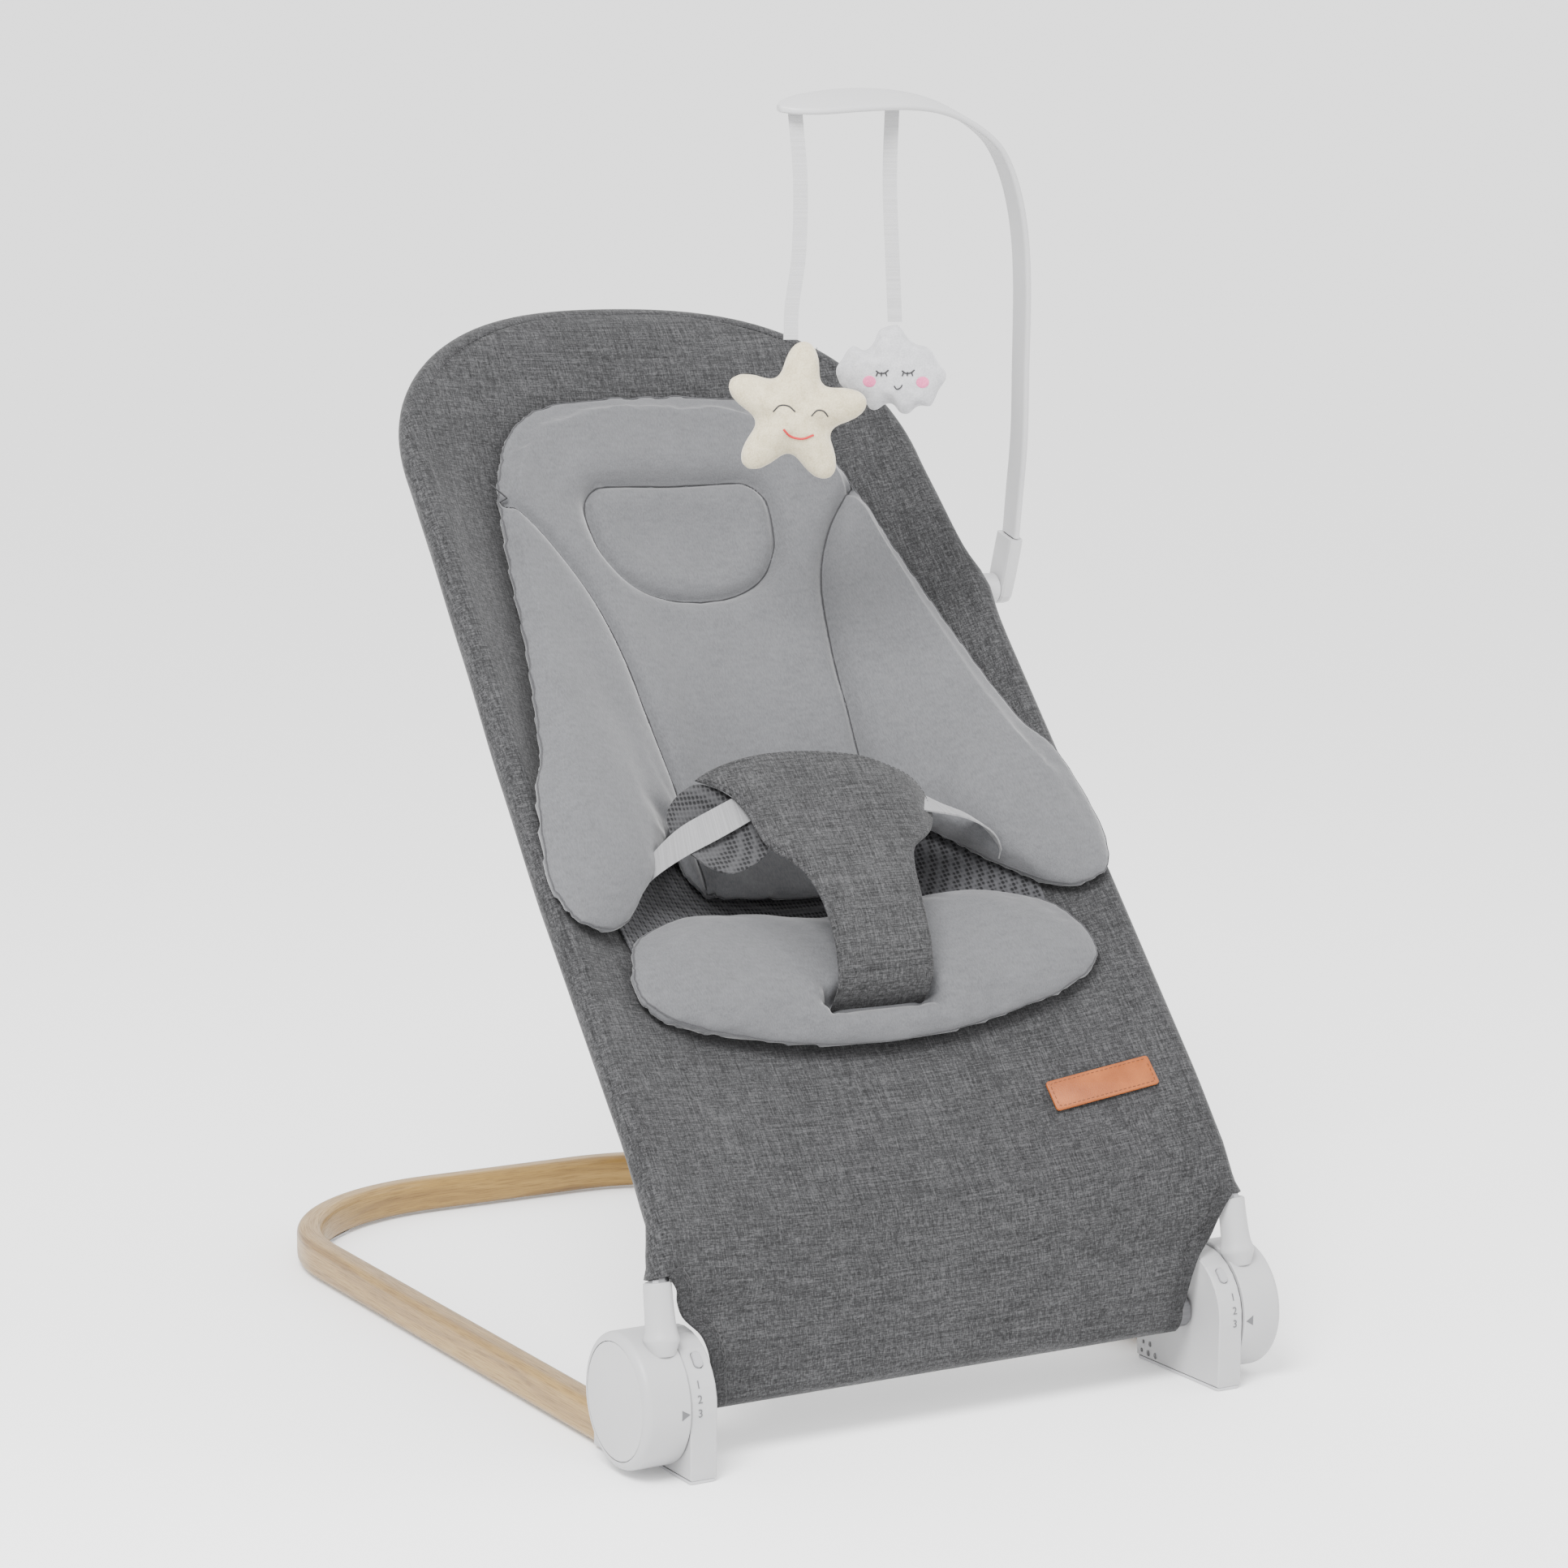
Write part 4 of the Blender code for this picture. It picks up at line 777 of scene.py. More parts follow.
# ---------------------------------------------------------------- turning drums with their necks
# neck keys: (x, distance in front of the hub axis, height over it, radius)
NECK = ((0.2238, 0.0225, 0.0330, 0.0088), (0.2236, 0.0217, 0.0400, 0.0110),
        (0.2234, 0.0212, 0.0430, 0.0118),
        (0.2232, 0.0203, 0.0480, 0.0104), (0.2230, 0.0190, 0.0540, 0.0098),
        (0.2228, 0.0165, 0.0660, 0.0094),
        (0.2226, 0.0148, 0.0765, 0.0092), (0.2226, 0.0146, 0.0778, 0.0088),
        (0.2226, 0.0145, 0.0784, 0.0081))
SIDES = ((-1, "left"), (1, "right"))


def make_drum(side, word):
    centre = (0.0, HUB_Y, HUB_Z)
    profile = [(DRUM_IN, AXLE_R + GAP), (DRUM_IN, 0.0110), (0.2370, 0.0110), (0.2370, 0.0412),
               (DRUM_IN, 0.0412),
               (DRUM_IN, DRUM_R - 0.0006), (DRUM_IN + 0.0006, DRUM_R), (0.2405, DRUM_R)]
    for k in range(1, 9):
        a = math.radians(90.0 - 90.0 * k / 8)
        profile.append((0.2405 + 0.0053 * math.cos(a), DRUM_R - 0.0053 + 0.0053 * math.sin(a)))
    profile += [(DRUM_OUT, CAP_R + 0.0004), (0.2440, CAP_R + 0.0004), (0.2440, AXLE_R + GAP)]
    v, f = lathe(profile, centre, 96, side)
    drum = piece("drum_shell_" + word, v, f, "hub", "seat", ("drum_" + word,), 35.0)
    path = smooth_line([Vector((side * x, HUB_Y - ahead, HUB_Z + rise)) for x, ahead, rise, r in NECK], 3)
    wide = [p.x for p in smooth_line([Vector((k[3], 0.0, 0.0)) for k in NECK], 3)]
    v, f = tube(path, wide, 40)
    neck = piece("neck_" + word, v, f, "hub", None, (), 60.0)
    union = drum.modifiers.new("neck", "BOOLEAN")
    union.operation = "UNION"
    union.solver = "EXACT"
    union.object = neck
    bpy.context.view_layer.objects.active = drum
    bpy.ops.object.modifier_apply(modifier=union.name)
    bpy.data.objects.remove(neck)
    soften_edges(drum.data, 42.0)


for drum_side, drum_word in SIDES:
    make_drum(drum_side, drum_word)


# ---------------------------------------------------------------- cloth cover
def bow_row(a):
    c = max(1e-4, math.cos(a))
    d = math.sin(a)
    nx = c ** (2 - 2 / BOW_N) / BOW_A
    ns = d ** (2 - 2 / BOW_N) / BOW_B
    size = math.hypot(nx, ns)
    return (BOW_A * c ** (2 / BOW_N), BOW_S + BOW_B * d ** (2 / BOW_N), 0.0068 * (1.0 - d ** 8), nx / size,
            ns / size)


def cover_rows():
    rows = []
    for a, b in zip(STATIONS, STATIONS[1:]):
        n = max(1, round((b - a) / 0.012))
        rows += [a + (b - a) * k / n for k in range(n)]
    rows.append(STATIONS[-1])
    made = [(rim(s)[0], s, rim(s)[1], 1.0, 0.0) for s in rows]
    made += [bow_row(math.radians(90.0 * k / 34)) for k in range(1, 35)]
    made[-1] = (0.0, made[-1][1], made[-1][2], 0.0, 1.0)
    return made


SEAM_SIDE = []          # stitch lines of the cover, filled while it is built
BIND = []


CORNER_SEAM = [(0.160, 0.612), (0.141, 0.585), (0.121, 0.556)]
CLAMP_S = 0.385         # station of the bulge over the toy arch clamp
BAR_X = 0.1835          # half width of the apron where it turns round the cross bar


def warped(j, across):
    """Place of column j from -1 to 1, closer together toward the edges."""
    t = 2.0 * j / across - 1.0
    return t * (1.0 + 0.10 * (1.0 - t * t))


def make_cover():
    """Cloth over the side tubes and the head bow, then the apron down to the cross bar."""
    verts, faces = [], []
    columns, across = 17, 54
    rows = cover_rows()
    last = len(rows) - 1
    wrap = {}

    def add(p):
        verts.append(p)
        return len(verts) - 1

    for side in (-1, 1):
        stitch = []
        for i, (x, s, off, ox, os_) in enumerate(rows):
            if i == last and side == 1:
                wrap[(1, i)] = wrap[(-1, i)]
                continue
            lean = math.atan2(2.0 * sag(s), max(x, 0.05))
            out = Vector((side * ox, 0.0, 0.0)) + ALONG * os_
            c = plane_point(side * x, s, off)
            bend = (rim(s + 0.012)[1] - rim(s - 0.012)[1]) / 0.024 if s < 0.0 else 0.0
            normal = (OFF - ALONG * bend).normalized()
            start = math.radians(205.0)
            line = []
            for k in range(columns):
                a = -lean + (start + lean) * (1.0 - k / (columns - 1))
                r = SLEEVE_R
                if side > 0:
                    r += 0.0055 * math.exp(-((s - CLAMP_S) / 0.022) ** 2) * max(0.0, math.sin(a)) ** 1.5
                line.append(add(c + (normal * math.cos(a) + out * math.sin(a)) * r))
            stitch.append(c + (normal * math.cos(lean + 0.10) - out * math.sin(lean + 0.10)) * (SLEEVE_R + CLOTH / 2 + 0.0001))
            wrap[(side, i)] = line
        SEAM_SIDE.append(stitch)
    for side in (-1, 1):
        for i in range(last):
            a, b = wrap[(side, i)], wrap[(side, i + 1)]
            for k in range(columns - 1):
                quad = (a[k], a[k + 1], b[k + 1], b[k])
                faces.append(quad if side < 0 else tuple(reversed(quad)))
    corner_lines = [mirror(CORNER_SEAM), CORNER_SEAM]
    lines = []
    for i in range(last):
        left, right = wrap[(-1, i)][-1], wrap[(1, i)][-1]
        p, q = verts[left], verts[right]
        line = [left]
        s_row = rows[i][1]
        for j in range(1, across):
            t = warped(j, across)
            u = 0.5 + 0.5 * t
            point = p.lerp(q, u) - OFF * sag(s_row) * (1.0 - t * t)
            edge = -(1.0 - abs(t)) * p.x
            ripple = noise.noise(Vector((point.x * 16.0, s_row * 9.0, 1.7))) * 0.0012
            ripple += noise.noise(Vector((point.x * 45.0, s_row * 30.0, 5.1))) * 0.00035
            fade = min(1.0, edge / 0.03)
            dip = -0.0011 * math.exp(-((edge - 0.0035) / 0.0022) ** 2)
            if s_row > 0.54:
                near = min(distance(point.x, s_row, line_) for line_ in corner_lines)
                dip -= 0.0012 * math.exp(-(near / 0.0028) ** 2)
            line.append(add(point + OFF * (ripple * fade + dip)))
        line.append(right)
        lines.append(line)
    for i in range(last - 1):
        for j in range(across):
            faces.append((lines[i][j], lines[i][j + 1], lines[i + 1][j + 1], lines[i + 1][j]))
    apex = wrap[(1, last)][-1]
    for j in range(across):
        faces.append((lines[-1][j], lines[-1][j + 1], apex))
    # apron, narrowing to the cross bar and rolling round it
    radius = BAR_R + 0.0006 + CLOTH / 2
    edge0 = verts[lines[0][-1]]
    first = OFF * -sag(rows[0][1])
    keys = [(edge0.x, edge0.y - FRONT_Y, edge0.z, first.y, -first.z)] + list(APRON)
    bar_start = math.radians(163.0)
    keys.append((BAR_X, HUB_Y + radius * math.cos(bar_start) - FRONT_Y,
                 HUB_Z + radius * math.sin(bar_start), 0.0, 0.0))
    edge_line = smooth_line([Vector(k[:3]) for k in keys], 6)
    lie_line = smooth_line([Vector((k[3], k[4], 0.0)) for k in keys], 6)
    apron = [(p.x, p.y, p.z, q.x, q.y) for p, q in zip(edge_line[1:], lie_line[1:])]
    turn_rows = 20
    for k in range(1, turn_rows + 1):
        a = bar_start + math.radians(235.0) * k / turn_rows
        apron.append((BAR_X - 0.006 * k / turn_rows, None, a, 0.0, 0.0))
    previous = lines[0]
    edge_left = [verts[lines[0][0]]]
    for i, (x, y, z, depth, fall) in enumerate(apron):
        line = []
        for j in range(across + 1):
            t = warped(j, across)
            if y is None:
                p = Vector((x * t, HUB_Y + radius * math.cos(z), HUB_Z + radius * math.sin(z)))
            else:
                p = Vector((x * t, FRONT_Y + y + depth * (1.0 - t * t), z - fall * (1.0 - t * t)))
                p.y += noise.noise(Vector((p.x * 14.0, z * 10.0, 3.3))) * 0.0012 * (1.0 - t * t)
            line.append(add(p))
        for j in range(across):
            faces.append((line[j], line[j + 1], previous[j + 1], previous[j]))
        if i < len(edge_line) + 5:
            edge_left.append(verts[line[0]])
        previous = line
    BIND.append(edge_left)
    BIND.append([Vector((-p.x, p.y, p.z)) for p in edge_left])
    v, f = thicken(verts, faces, CLOTH / 2)
    ob = piece("cover_cloth", v, f, "cover", "seat", ("seat_cover",), 60.0)


make_cover()
for word, line in zip(("left", "right"), SEAM_SIDE):
    stitches("edge_stitch_" + word, line, "dark_thread_and_groove_shade")
for word, line in zip(("left", "right"), BIND):
    # folded binding on the cut-out above the hub
    ribs = []
    section = rounded(0.0110, 0.0036, 0.0014, 3)
    for i, p in enumerate(line):
        t = tangent(line, i)
        side = 1.0 if p.x > 0 else -1.0
        inward = Vector((-side, 0.0, 0.0))
        inward = (inward - t * inward.dot(t)).normalized()
        n = t.cross(inward).normalized()
        ribs.append([p + inward * (0.0050 + a) + n * b for a, b in section])
    v, f = loft(ribs)
    piece("binding_" + word, v, f, "binding", "seat", (), weld=False)
    stitches("binding_stitch_" + word,
             [p + Vector((-0.0085 if p.x > 0 else 0.0085, -0.0021, 0.0)) for p in line],
             "dark_thread_and_groove_shade")
for side, word in SIDES:
    stitches("corner_stitch_" + word, [sling(side * x, s, CLOTH / 2) for x, s in fine(CORNER_SEAM, 6)],
             "dark_thread_and_groove_shade")

# ---------------------------------------------------------------- mesh panel, insert, pads
SKIN = CLOTH / 2 + GAP
BASE = SKIN + 0.0027 + 0.0024
MESH_HALF = [(0.0, 0.490), (0.080, 0.485), (0.130, 0.460), (0.155, 0.390), (0.166, 0.300), (0.170, 0.200),
             (0.166, 0.110), (0.145, 0.060), (0.085, 0.040), (0.0, 0.034)]
v, f = puff(ring_outline(MESH_HALF, 6), (0.0, 0.26), sling, lambda q, x, s: SKIN + 0.0015, lambda q, x,
            s: SKIN + 0.0027,
            tuple(k / 16 for k in range(1, 17)))
mesh_panel = piece("spacer_panel", v, f, "mesh", "seat", ("mesh_panel",))

INSERT_HALF = [(0.0, 0.583), (0.055, 0.581), (0.100, 0.570), (0.131, 0.546), (0.150, 0.512), (0.157, 0.492),
               (0.164, 0.462), (0.171, 0.425), (0.181, 0.370), (0.194, 0.310), (0.208, 0.254),
               (0.219, 0.212),
               (0.2262, 0.171), (0.2262, 0.144), (0.219, 0.124), (0.203, 0.115), (0.182, 0.120),
               (0.157, 0.144),
               (0.134, 0.173), (0.118, 0.191), (0.108, 0.196), (0.101, 0.188), (0.098, 0.174),
               (0.090, 0.161),
               (0.075, 0.154), (0.040, 0.151), (0.0, 0.150)]
WING = fine([(0.159, 0.492), (0.150, 0.487), (0.134, 0.474), (0.112, 0.446), (0.094, 0.405), (0.084, 0.350),
             (0.080, 0.300), (0.077, 0.258), (0.0765, 0.225), (0.0765, 0.195), (0.0770, 0.158)])
PILLOW_HALF = [(0.0, 0.500), (0.040, 0.500), (0.062, 0.497), (0.074, 0.484), (0.0745, 0.464),
               (0.069, 0.441),
               (0.053, 0.420), (0.028, 0.409), (0.0, 0.406)]
PILLOW = ring_outline(PILLOW_HALF, 6)
PILLOW_LINE = PILLOW + PILLOW[:1]
PAD_HALF = [(0.0, 0.140), (0.070, 0.143), (0.130, 0.139), (0.168, 0.122), (0.184, 0.098), (0.1885, 0.078),
            (0.184, 0.060), (0.160, 0.043), (0.120, 0.030), (0.060, 0.020), (0.0, 0.017)]
SLOT = [(-0.036, 0.053), (0.036, 0.053)]     # the pad's slot for the strap
RINGS = (0.12, 0.24, 0.36, 0.48, 0.58, 0.67, 0.75, 0.82, 0.875, 0.92, 0.95, 0.97, 0.985, 0.995, 1.0)


def loaf(x, s):
    """Filled height of the insert: fullest at the foot of each wing."""
    dx = (abs(x) - 0.163) / 0.058
    ds = (s - 0.205) / 0.115
    return 0.0185 + 0.021 * math.exp(-dx * dx - ds * ds)


def cushion(name, half, centre, full, box, material, nodes, shape):
    """Boxed cushion on the sling: stuffed by simulation, then quilted by shape(points) -> lift."""
    outline = ring_outline(half, 8)
    ring = outline + outline[:1]
    slim = [(centre[0] + (a - centre[0]) * 0.985, centre[1] + (b - centre[1]) * 0.985) for a, b in outline]

    def top(q, x, s):
        return BASE + box + (full(x, s) - 0.003 - box) * math.sqrt(max(0.0, 1.0 - q ** 5))
    v, f = puff(slim, centre, sling, lambda q, x, s: BASE + 0.0015, top, RINGS)
    ob = piece(name, v, f, material, "seat", nodes, 70.0)
    inflate(ob, 0.0042, 5.0, 0.0055, 20)
    world = [v.co.copy() for v in ob.data.vertices]
    spots = [sling_xy(p) for p in world]
    lift = shape(np.array([(x, s) for x, s, off in spots]))
    for vert, (x, s, off), p, up in zip(ob.data.vertices, spots, world, lift):
        h = off - height(x, s)
        upper = min(1.0, max(0.0, (h - BASE - 0.005) / 0.005))
        h2 = max(BASE - 0.0008, h + up * upper)
        vert.co = p + OFF * (h2 - h)
    ob.data.update()
    tree = surface_tree(ob)

    def on_top(x, s, lift_by=0.0):
        start = plane_point(x, s, 0.25)
        hit = tree.ray_cast(start, -OFF)
        point = hit[0] if hit[0] is not None else sling(x, s, BASE + 0.01)
        return point + OFF * lift_by
    # piping round the cushion edge: the edge seam is real, its darker jersey tone is painted shade
    v, f = tube([tree.find_nearest(sling(x, s, BASE + 0.0085))[0] for x, s in ring], 0.0007, 6)
    piece(name + "_painted_shade_piping", v, f, "jersey_edge_shade", "seat", (), weld=False)
    return on_top


def insert_shape(flat):
    wings = np.minimum(distances(flat, WING), distances(flat, mirror(WING)))
    pillow = distances(flat, PILLOW_LINE)
    lift = -0.0080 * np.exp(-(wings / 0.0048) ** 1.4) + 0.0030 * np.exp(-((wings - 0.020) / 0.015) ** 2)
    lift -= 0.0075 * np.exp(-(pillow / 0.0046) ** 1.4)
    lift += 0.0026 * np.exp(-((pillow - 0.017) / 0.012) ** 2)
    for i, (x, s) in enumerate(flat):
        lift[i] += noise.noise(Vector((x * 14.0, s * 12.0, 8.0))) * 0.0014
    return lift


def pad_shape(flat):
    gap = distances(flat, SLOT)
    lift = -0.0150 * np.exp(-(np.maximum(0.0, gap - 0.0035) / 0.0055) ** 1.5)
    for i, (x, s) in enumerate(flat):
        for side in (-1, 1):
            out, up = side * x - 0.038, s - SLOT[0][1]
            d = math.hypot(out, up)
            angle = math.atan2(up, out)
            lift[i] -= 0.0030 * math.exp(-(d / 0.020) ** 2) * (0.5 + 0.5 * math.cos(5.0 * angle))
        lift[i] += noise.noise(Vector((x * 15.0, s * 15.0, 2.0))) * 0.0012
    return lift


on_insert = cushion("newborn_insert", INSERT_HALF, (0.0, 0.345), loaf, 0.0050, "jersey",
                    ("insert_cushion", "head_pad"), insert_shape)
# the quilting seams are real, but these near-black tubes in the groove bottoms are painted crease shade
for word, line in (("wing_left", mirror(WING)), ("wing_right", WING), ("pillow", PILLOW_LINE)):
    v, f = tube([on_insert(x, s, 0.0001) for x, s in line], 0.0006, 6)
    piece("seam_" + word, v, f, "dark_thread_and_groove_shade", "seat", (), weld=False)
cushion("seat_cushion", PAD_HALF, (0.0, 0.080), lambda x, s: 0.0225, 0.0060, "jersey",
        ("seat_pad",), pad_shape)


# ---------------------------------------------------------------- harness
def strap_rise(s):
    """Height of the harness off the sling plane along its length."""
    keys = ((0.0500, -0.0080), (0.0535, 0.0060), (0.0565, 0.0170), (0.0660, 0.0245), (0.0800, 0.0308),
            (0.0980, 0.0350),
            (0.1180, 0.0378), (0.1390, 0.0385), (0.1560, 0.0382), (0.1900, 0.0372), (0.2400, 0.0355))
    for (s0, h0), (s1, h1) in zip(keys, keys[1:]):
        if s <= s1:
            return h0 + (h1 - h0) * max(0.0, (s - s0)) / (s1 - s0)
    return keys[-1][1]


def harness_at(x, s, h):
    droop = 3.4 * max(0.0, -x - 0.038) ** 2 + 6.0 * max(0.0, x - 0.038) ** 2
    wave = noise.noise(Vector((x * 24.0, s * 24.0, 4.0))) * 0.0012
    return plane_point(x, s, strap_rise(s) - droop + wave + h)


FACE_KEYS = [(0.0107, 0.2345), (0.0380, 0.2290), (0.0600, 0.2195), (0.0780, 0.2130), (0.0870, 0.2020),
             (0.0865, 0.1860), (0.0800, 0.1740), (0.0720, 0.1640), (0.0600, 0.1560), (0.0500, 0.1500),
             (0.0452, 0.1380),
             (0.0420, 0.1200), (0.0400, 0.1000), (0.0392, 0.0800), (0.0380, 0.0640), (0.0375, 0.0505),
             (-0.0370, 0.0505), (-0.0362, 0.0640), (-0.0350, 0.0848), (-0.0348, 0.1000), (-0.0355, 0.1130),
             (-0.0376, 0.1260),
             (-0.0420, 0.1375), (-0.0490, 0.1480), (-0.0575, 0.1560), (-0.0620, 0.1650), (-0.0636, 0.1780),
             (-0.0648, 0.1900), (-0.0700, 0.2060), (-0.0790, 0.2160), (-0.0895, 0.2245), (-0.0800, 0.2290),
             (-0.0600, 0.2335),
             (-0.0369, 0.2362), (-0.0126, 0.2366)]
CORNERS = ((0.0375, 0.0505), (-0.0370, 0.0505), (-0.0895, 0.2245))


def resample(keys, spacing):
    """Closed outline with even short steps between the given points."""
    out = []
    for (x0, s0), (x1, s1) in zip(keys, keys[1:] + keys[:1]):
        n = max(1, round(math.hypot(x1 - x0, s1 - s0) / spacing))
        out += [(x0 + (x1 - x0) * k / n, s0 + (s1 - s0) * k / n) for k in range(n)]
    return out


def soften(outline, passes, corners=()):
    """Closed outline averaged with its neighbours, except beside its sharp corners."""
    for _ in range(passes):
        made = []
        for i, (x, s) in enumerate(outline):
            before, after = outline[i - 1], outline[(i + 1) % len(outline)]
            if not any(math.hypot(x - cx, s - cs) < 0.004 for cx, cs in corners):
                x = (before[0] + x * 2 + after[0]) / 4
                s = (before[1] + s * 2 + after[1]) / 4
            made.append((x, s))
        outline = made
    return outline


HARNESS_MID = (0.0, 0.176)
face_outline = soften(resample(FACE_KEYS, 0.0035), 3, CORNERS)
HARNESS_RINGS = (0.06, 0.13, 0.20, 0.28, 0.36, 0.44, 0.52, 0.60, 0.68, 0.75, 0.81, 0.86, 0.90, 0.93, 0.95,
                 0.965, 0.975, 0.985, 0.993, 1.0)


def plump(q):
    return math.sqrt(max(0.0, 1.0 - q ** 6))


v, f = puff(face_outline, HARNESS_MID, harness_at, lambda q, x, s: -0.0012, lambda q, x,
            s: -0.0004 + 0.0030 * plump(q), HARNESS_RINGS)
harness = piece("harness_face", v, f, "harness", "seat", ("harness_pad",), 75.0)
v, f = puff([(x * 0.985, s + (HARNESS_MID[1] - s) * 0.012) for x, s in face_outline], HARNESS_MID,
            harness_at,
            lambda q, x, s: -0.0016 - 0.0028 * plump(q), lambda q, x, s: -0.0014, HARNESS_RINGS)
lining = piece("harness_lining", v, f, "mesh", "seat", (), 75.0)

# the lining flares out past the left end of the belt, cupped toward the sitter
FLARE_KEYS = [(-0.0880, 0.2235), (-0.0980, 0.2200), (-0.1090, 0.2130), (-0.1175, 0.2030), (-0.1200, 0.1920),
              (-0.1165, 0.1800),
              (-0.1080, 0.1680), (-0.1000, 0.1570), (-0.0905, 0.1500), (-0.0790, 0.1500), (-0.0670, 0.1550),
              (-0.0560, 0.1600),
              (-0.0560, 0.1750), (-0.0580, 0.1900), (-0.0640, 0.2060), (-0.0740, 0.2170)]
FLARE_MID = (-0.0880, 0.1850)


def flare_at(x, s, h):
    d = math.hypot(x - FLARE_MID[0], (s - FLARE_MID[1]) * 0.85)
    return plane_point(x, s, 0.0185 + 0.0055 * min(1.3, (d / 0.032) ** 2) + 0.10 * (x + 0.09) + h)


v, f = puff(soften(resample(FLARE_KEYS, 0.0030), 4), FLARE_MID, flare_at, lambda q, x,
            s: -0.0010 - 0.0010 * plump(q), lambda q, x, s: 0.0010 * plump(q) + 0.0002,
            HARNESS_RINGS)
flare = piece("harness_flare", v, f, "mesh_grey", "seat", (), 75.0)
inner = [(x * 0.955, HARNESS_MID[1] + (s - HARNESS_MID[1]) * 0.965) for x, s in face_outline if s > 0.058]
stitches("harness_stitch", [harness_at(x, s, 0.0023) for x, s in inner], "dark_thread_and_groove_shade",
         radius=0.00026)


WEBBING_KEYS = ((0.0600, 0.1985, 0.0285), (0.0720, 0.1935, 0.0282), (0.0920, 0.1860, 0.0265),
                (0.1120, 0.1790, 0.0235), (0.1280, 0.1725, 0.0165), (0.1385, 0.1675, 0.0040),
                (0.1420, 0.1650, -0.0080))
WEBBING_HALF = 0.0102
TAPE_HALF = 0.0050


def strap(name, points, reach, wide, half, material, body, nodes):
    """Flat tape along points, with its half width and one width direction per point."""
    sheet, quads = [], []
    for p, a in zip(points, wide):
        sheet += [p - a * reach, p - a * reach * 0.33, p + a * reach * 0.33, p + a * reach]
    for i in range(len(points) - 1):
        for k in range(3):
            quads.append((4 * i + k, 4 * i + k + 1, 4 * i + 5 + k, 4 * i + 4 + k))
    v, f = thicken(sheet, quads, half)
    return piece(name, v, f, material, body, nodes, 40.0)


for side, word in SIDES:
    points = smooth_line([plane_point(side * x, s, off) for x, s, off in WEBBING_KEYS], 6)
    # the left strap shows its face to the camera and the right one its edge
    start = Vector((side * -0.34, -0.94, 0.0))
    end = Vector((-0.30, -0.72, -0.62)) if side < 0 else Vector((-0.03, -0.80, 0.60))
    pace = 1.0 if side < 0 else 2.2
    spread = [start.lerp(end,
                         ease(min(1.0,
                                  pace * k / (len(points) - 1)))).normalized() for k in range(len(points))]
    turns = [Vector((a.x, 0.0, 0.0)) + ALONG * a.y + OFF * a.z for a in spread]
    strap("webbing_strap_" + word, points, WEBBING_HALF, turns, 0.0006, "webbing", "seat",
          ("webbing_" + word,))

# ---------------------------------------------------------------- leather tag
TAG = (0.1475, -0.0290)
TAG_TURN = math.radians(3.0)


def tag_point(a, b, h):
    x = TAG[0] + a * math.cos(TAG_TURN) - b * math.sin(TAG_TURN)
    s = TAG[1] + a * math.sin(TAG_TURN) + b * math.cos(TAG_TURN)
    return sling(x, s, h)


rings = []
for h, k in ((0.0006, 0.0), (0.0020, 0.0), (0.0026, 0.0006)):
    rings.append([tag_point(a * (1 - k / 0.04), b * (1 - k / 0.011), SKIN + h)
                  for a, b in rounded(0.0790, 0.0220, 0.0022, 4)])
v, f = loft(rings)
piece("tag_skin", v, f, "leather", "seat", ("leather_tag",), 40.0)
loop = [tag_point(a, b, SKIN + 0.0027) for a, b in rounded(0.0744, 0.0174, 0.0012, 2)]
loop.append(loop[0])
stitches("tag_stitch", loop, "brown_thread", 0.0036, 0.0024, 0.00030)
verts, faces = [], []
for k in range(5):
    r = 0.0030 - 0.0004 * abs(k - 2)
    ends = [tag_point(-0.020 + 0.010 * k, 0.0, SKIN + h) for h in (0.0025, 0.0029)]
    add_part(verts, faces, tube(ends, [r, r * 0.8], 16))
piece("tag_dots", verts, faces, "brown_thread", "seat", (), weld=False)

# ---------------------------------------------------------------- toy arch
WIDE = Vector((0.0, math.cos(ARCH_TILT), math.sin(ARCH_TILT)))
LEAN = Vector((0.0, -math.sin(ARCH_TILT), math.cos(ARCH_TILT)))
ARCH_KEYS = ((0.2402, PIVOT.y + LEAN.y * 0.0430, PIVOT.z + LEAN.z * 0.0430, 0.0195),
             (0.2385, FRONT_Y + 0.3320, 0.5900, 0.0200),
             (0.2320, FRONT_Y + 0.3160, 0.6350, 0.0200), (0.2230, FRONT_Y + 0.3010, 0.6860, 0.0200),
             (0.2120, FRONT_Y + 0.2830, 0.7400, 0.0205), (0.2020, FRONT_Y + 0.2710, 0.7790, 0.0210),
             (0.1890, FRONT_Y + 0.2610, 0.8110, 0.0220), (0.1730, FRONT_Y + 0.2530, 0.8360, 0.0235),
             (0.1560, FRONT_Y + 0.2480, 0.8510, 0.0255), (0.1300, FRONT_Y + 0.2440, 0.8640, 0.0290),
             (0.1050, FRONT_Y + 0.2420, 0.8710, 0.0345), (0.0770, FRONT_Y + 0.2412, 0.8735, 0.0400),
             (0.0450, FRONT_Y + 0.2410, 0.8725, 0.0430), (0.0150, FRONT_Y + 0.2410, 0.8695, 0.0380),
             (0.0020, FRONT_Y + 0.2410, 0.8680, 0.0300), (-0.0070, FRONT_Y + 0.2410, 0.8668, 0.0200),
             (-0.0130, FRONT_Y + 0.2410, 0.8660, 0.0060))
line = smooth_line([Vector(k[:3]) for k in ARCH_KEYS], 5)
widths = [p.x for p in smooth_line([Vector((k[3], 0.0, 0.0)) for k in ARCH_KEYS], 5)]
rings = []
for i, p in enumerate(line):
    t = tangent(line, i)
    out = t.cross(WIDE).normalized()
    w = max(0.004, widths[i])
    rings.append([p + WIDE * a + out * b for a, b in rounded(w, 0.0048, min(0.0022, w * 0.3), 4)])
v, f = loft(rings)
piece("arch_strip", v, f, "arch", "arch", ("toy_arch",), 50.0)

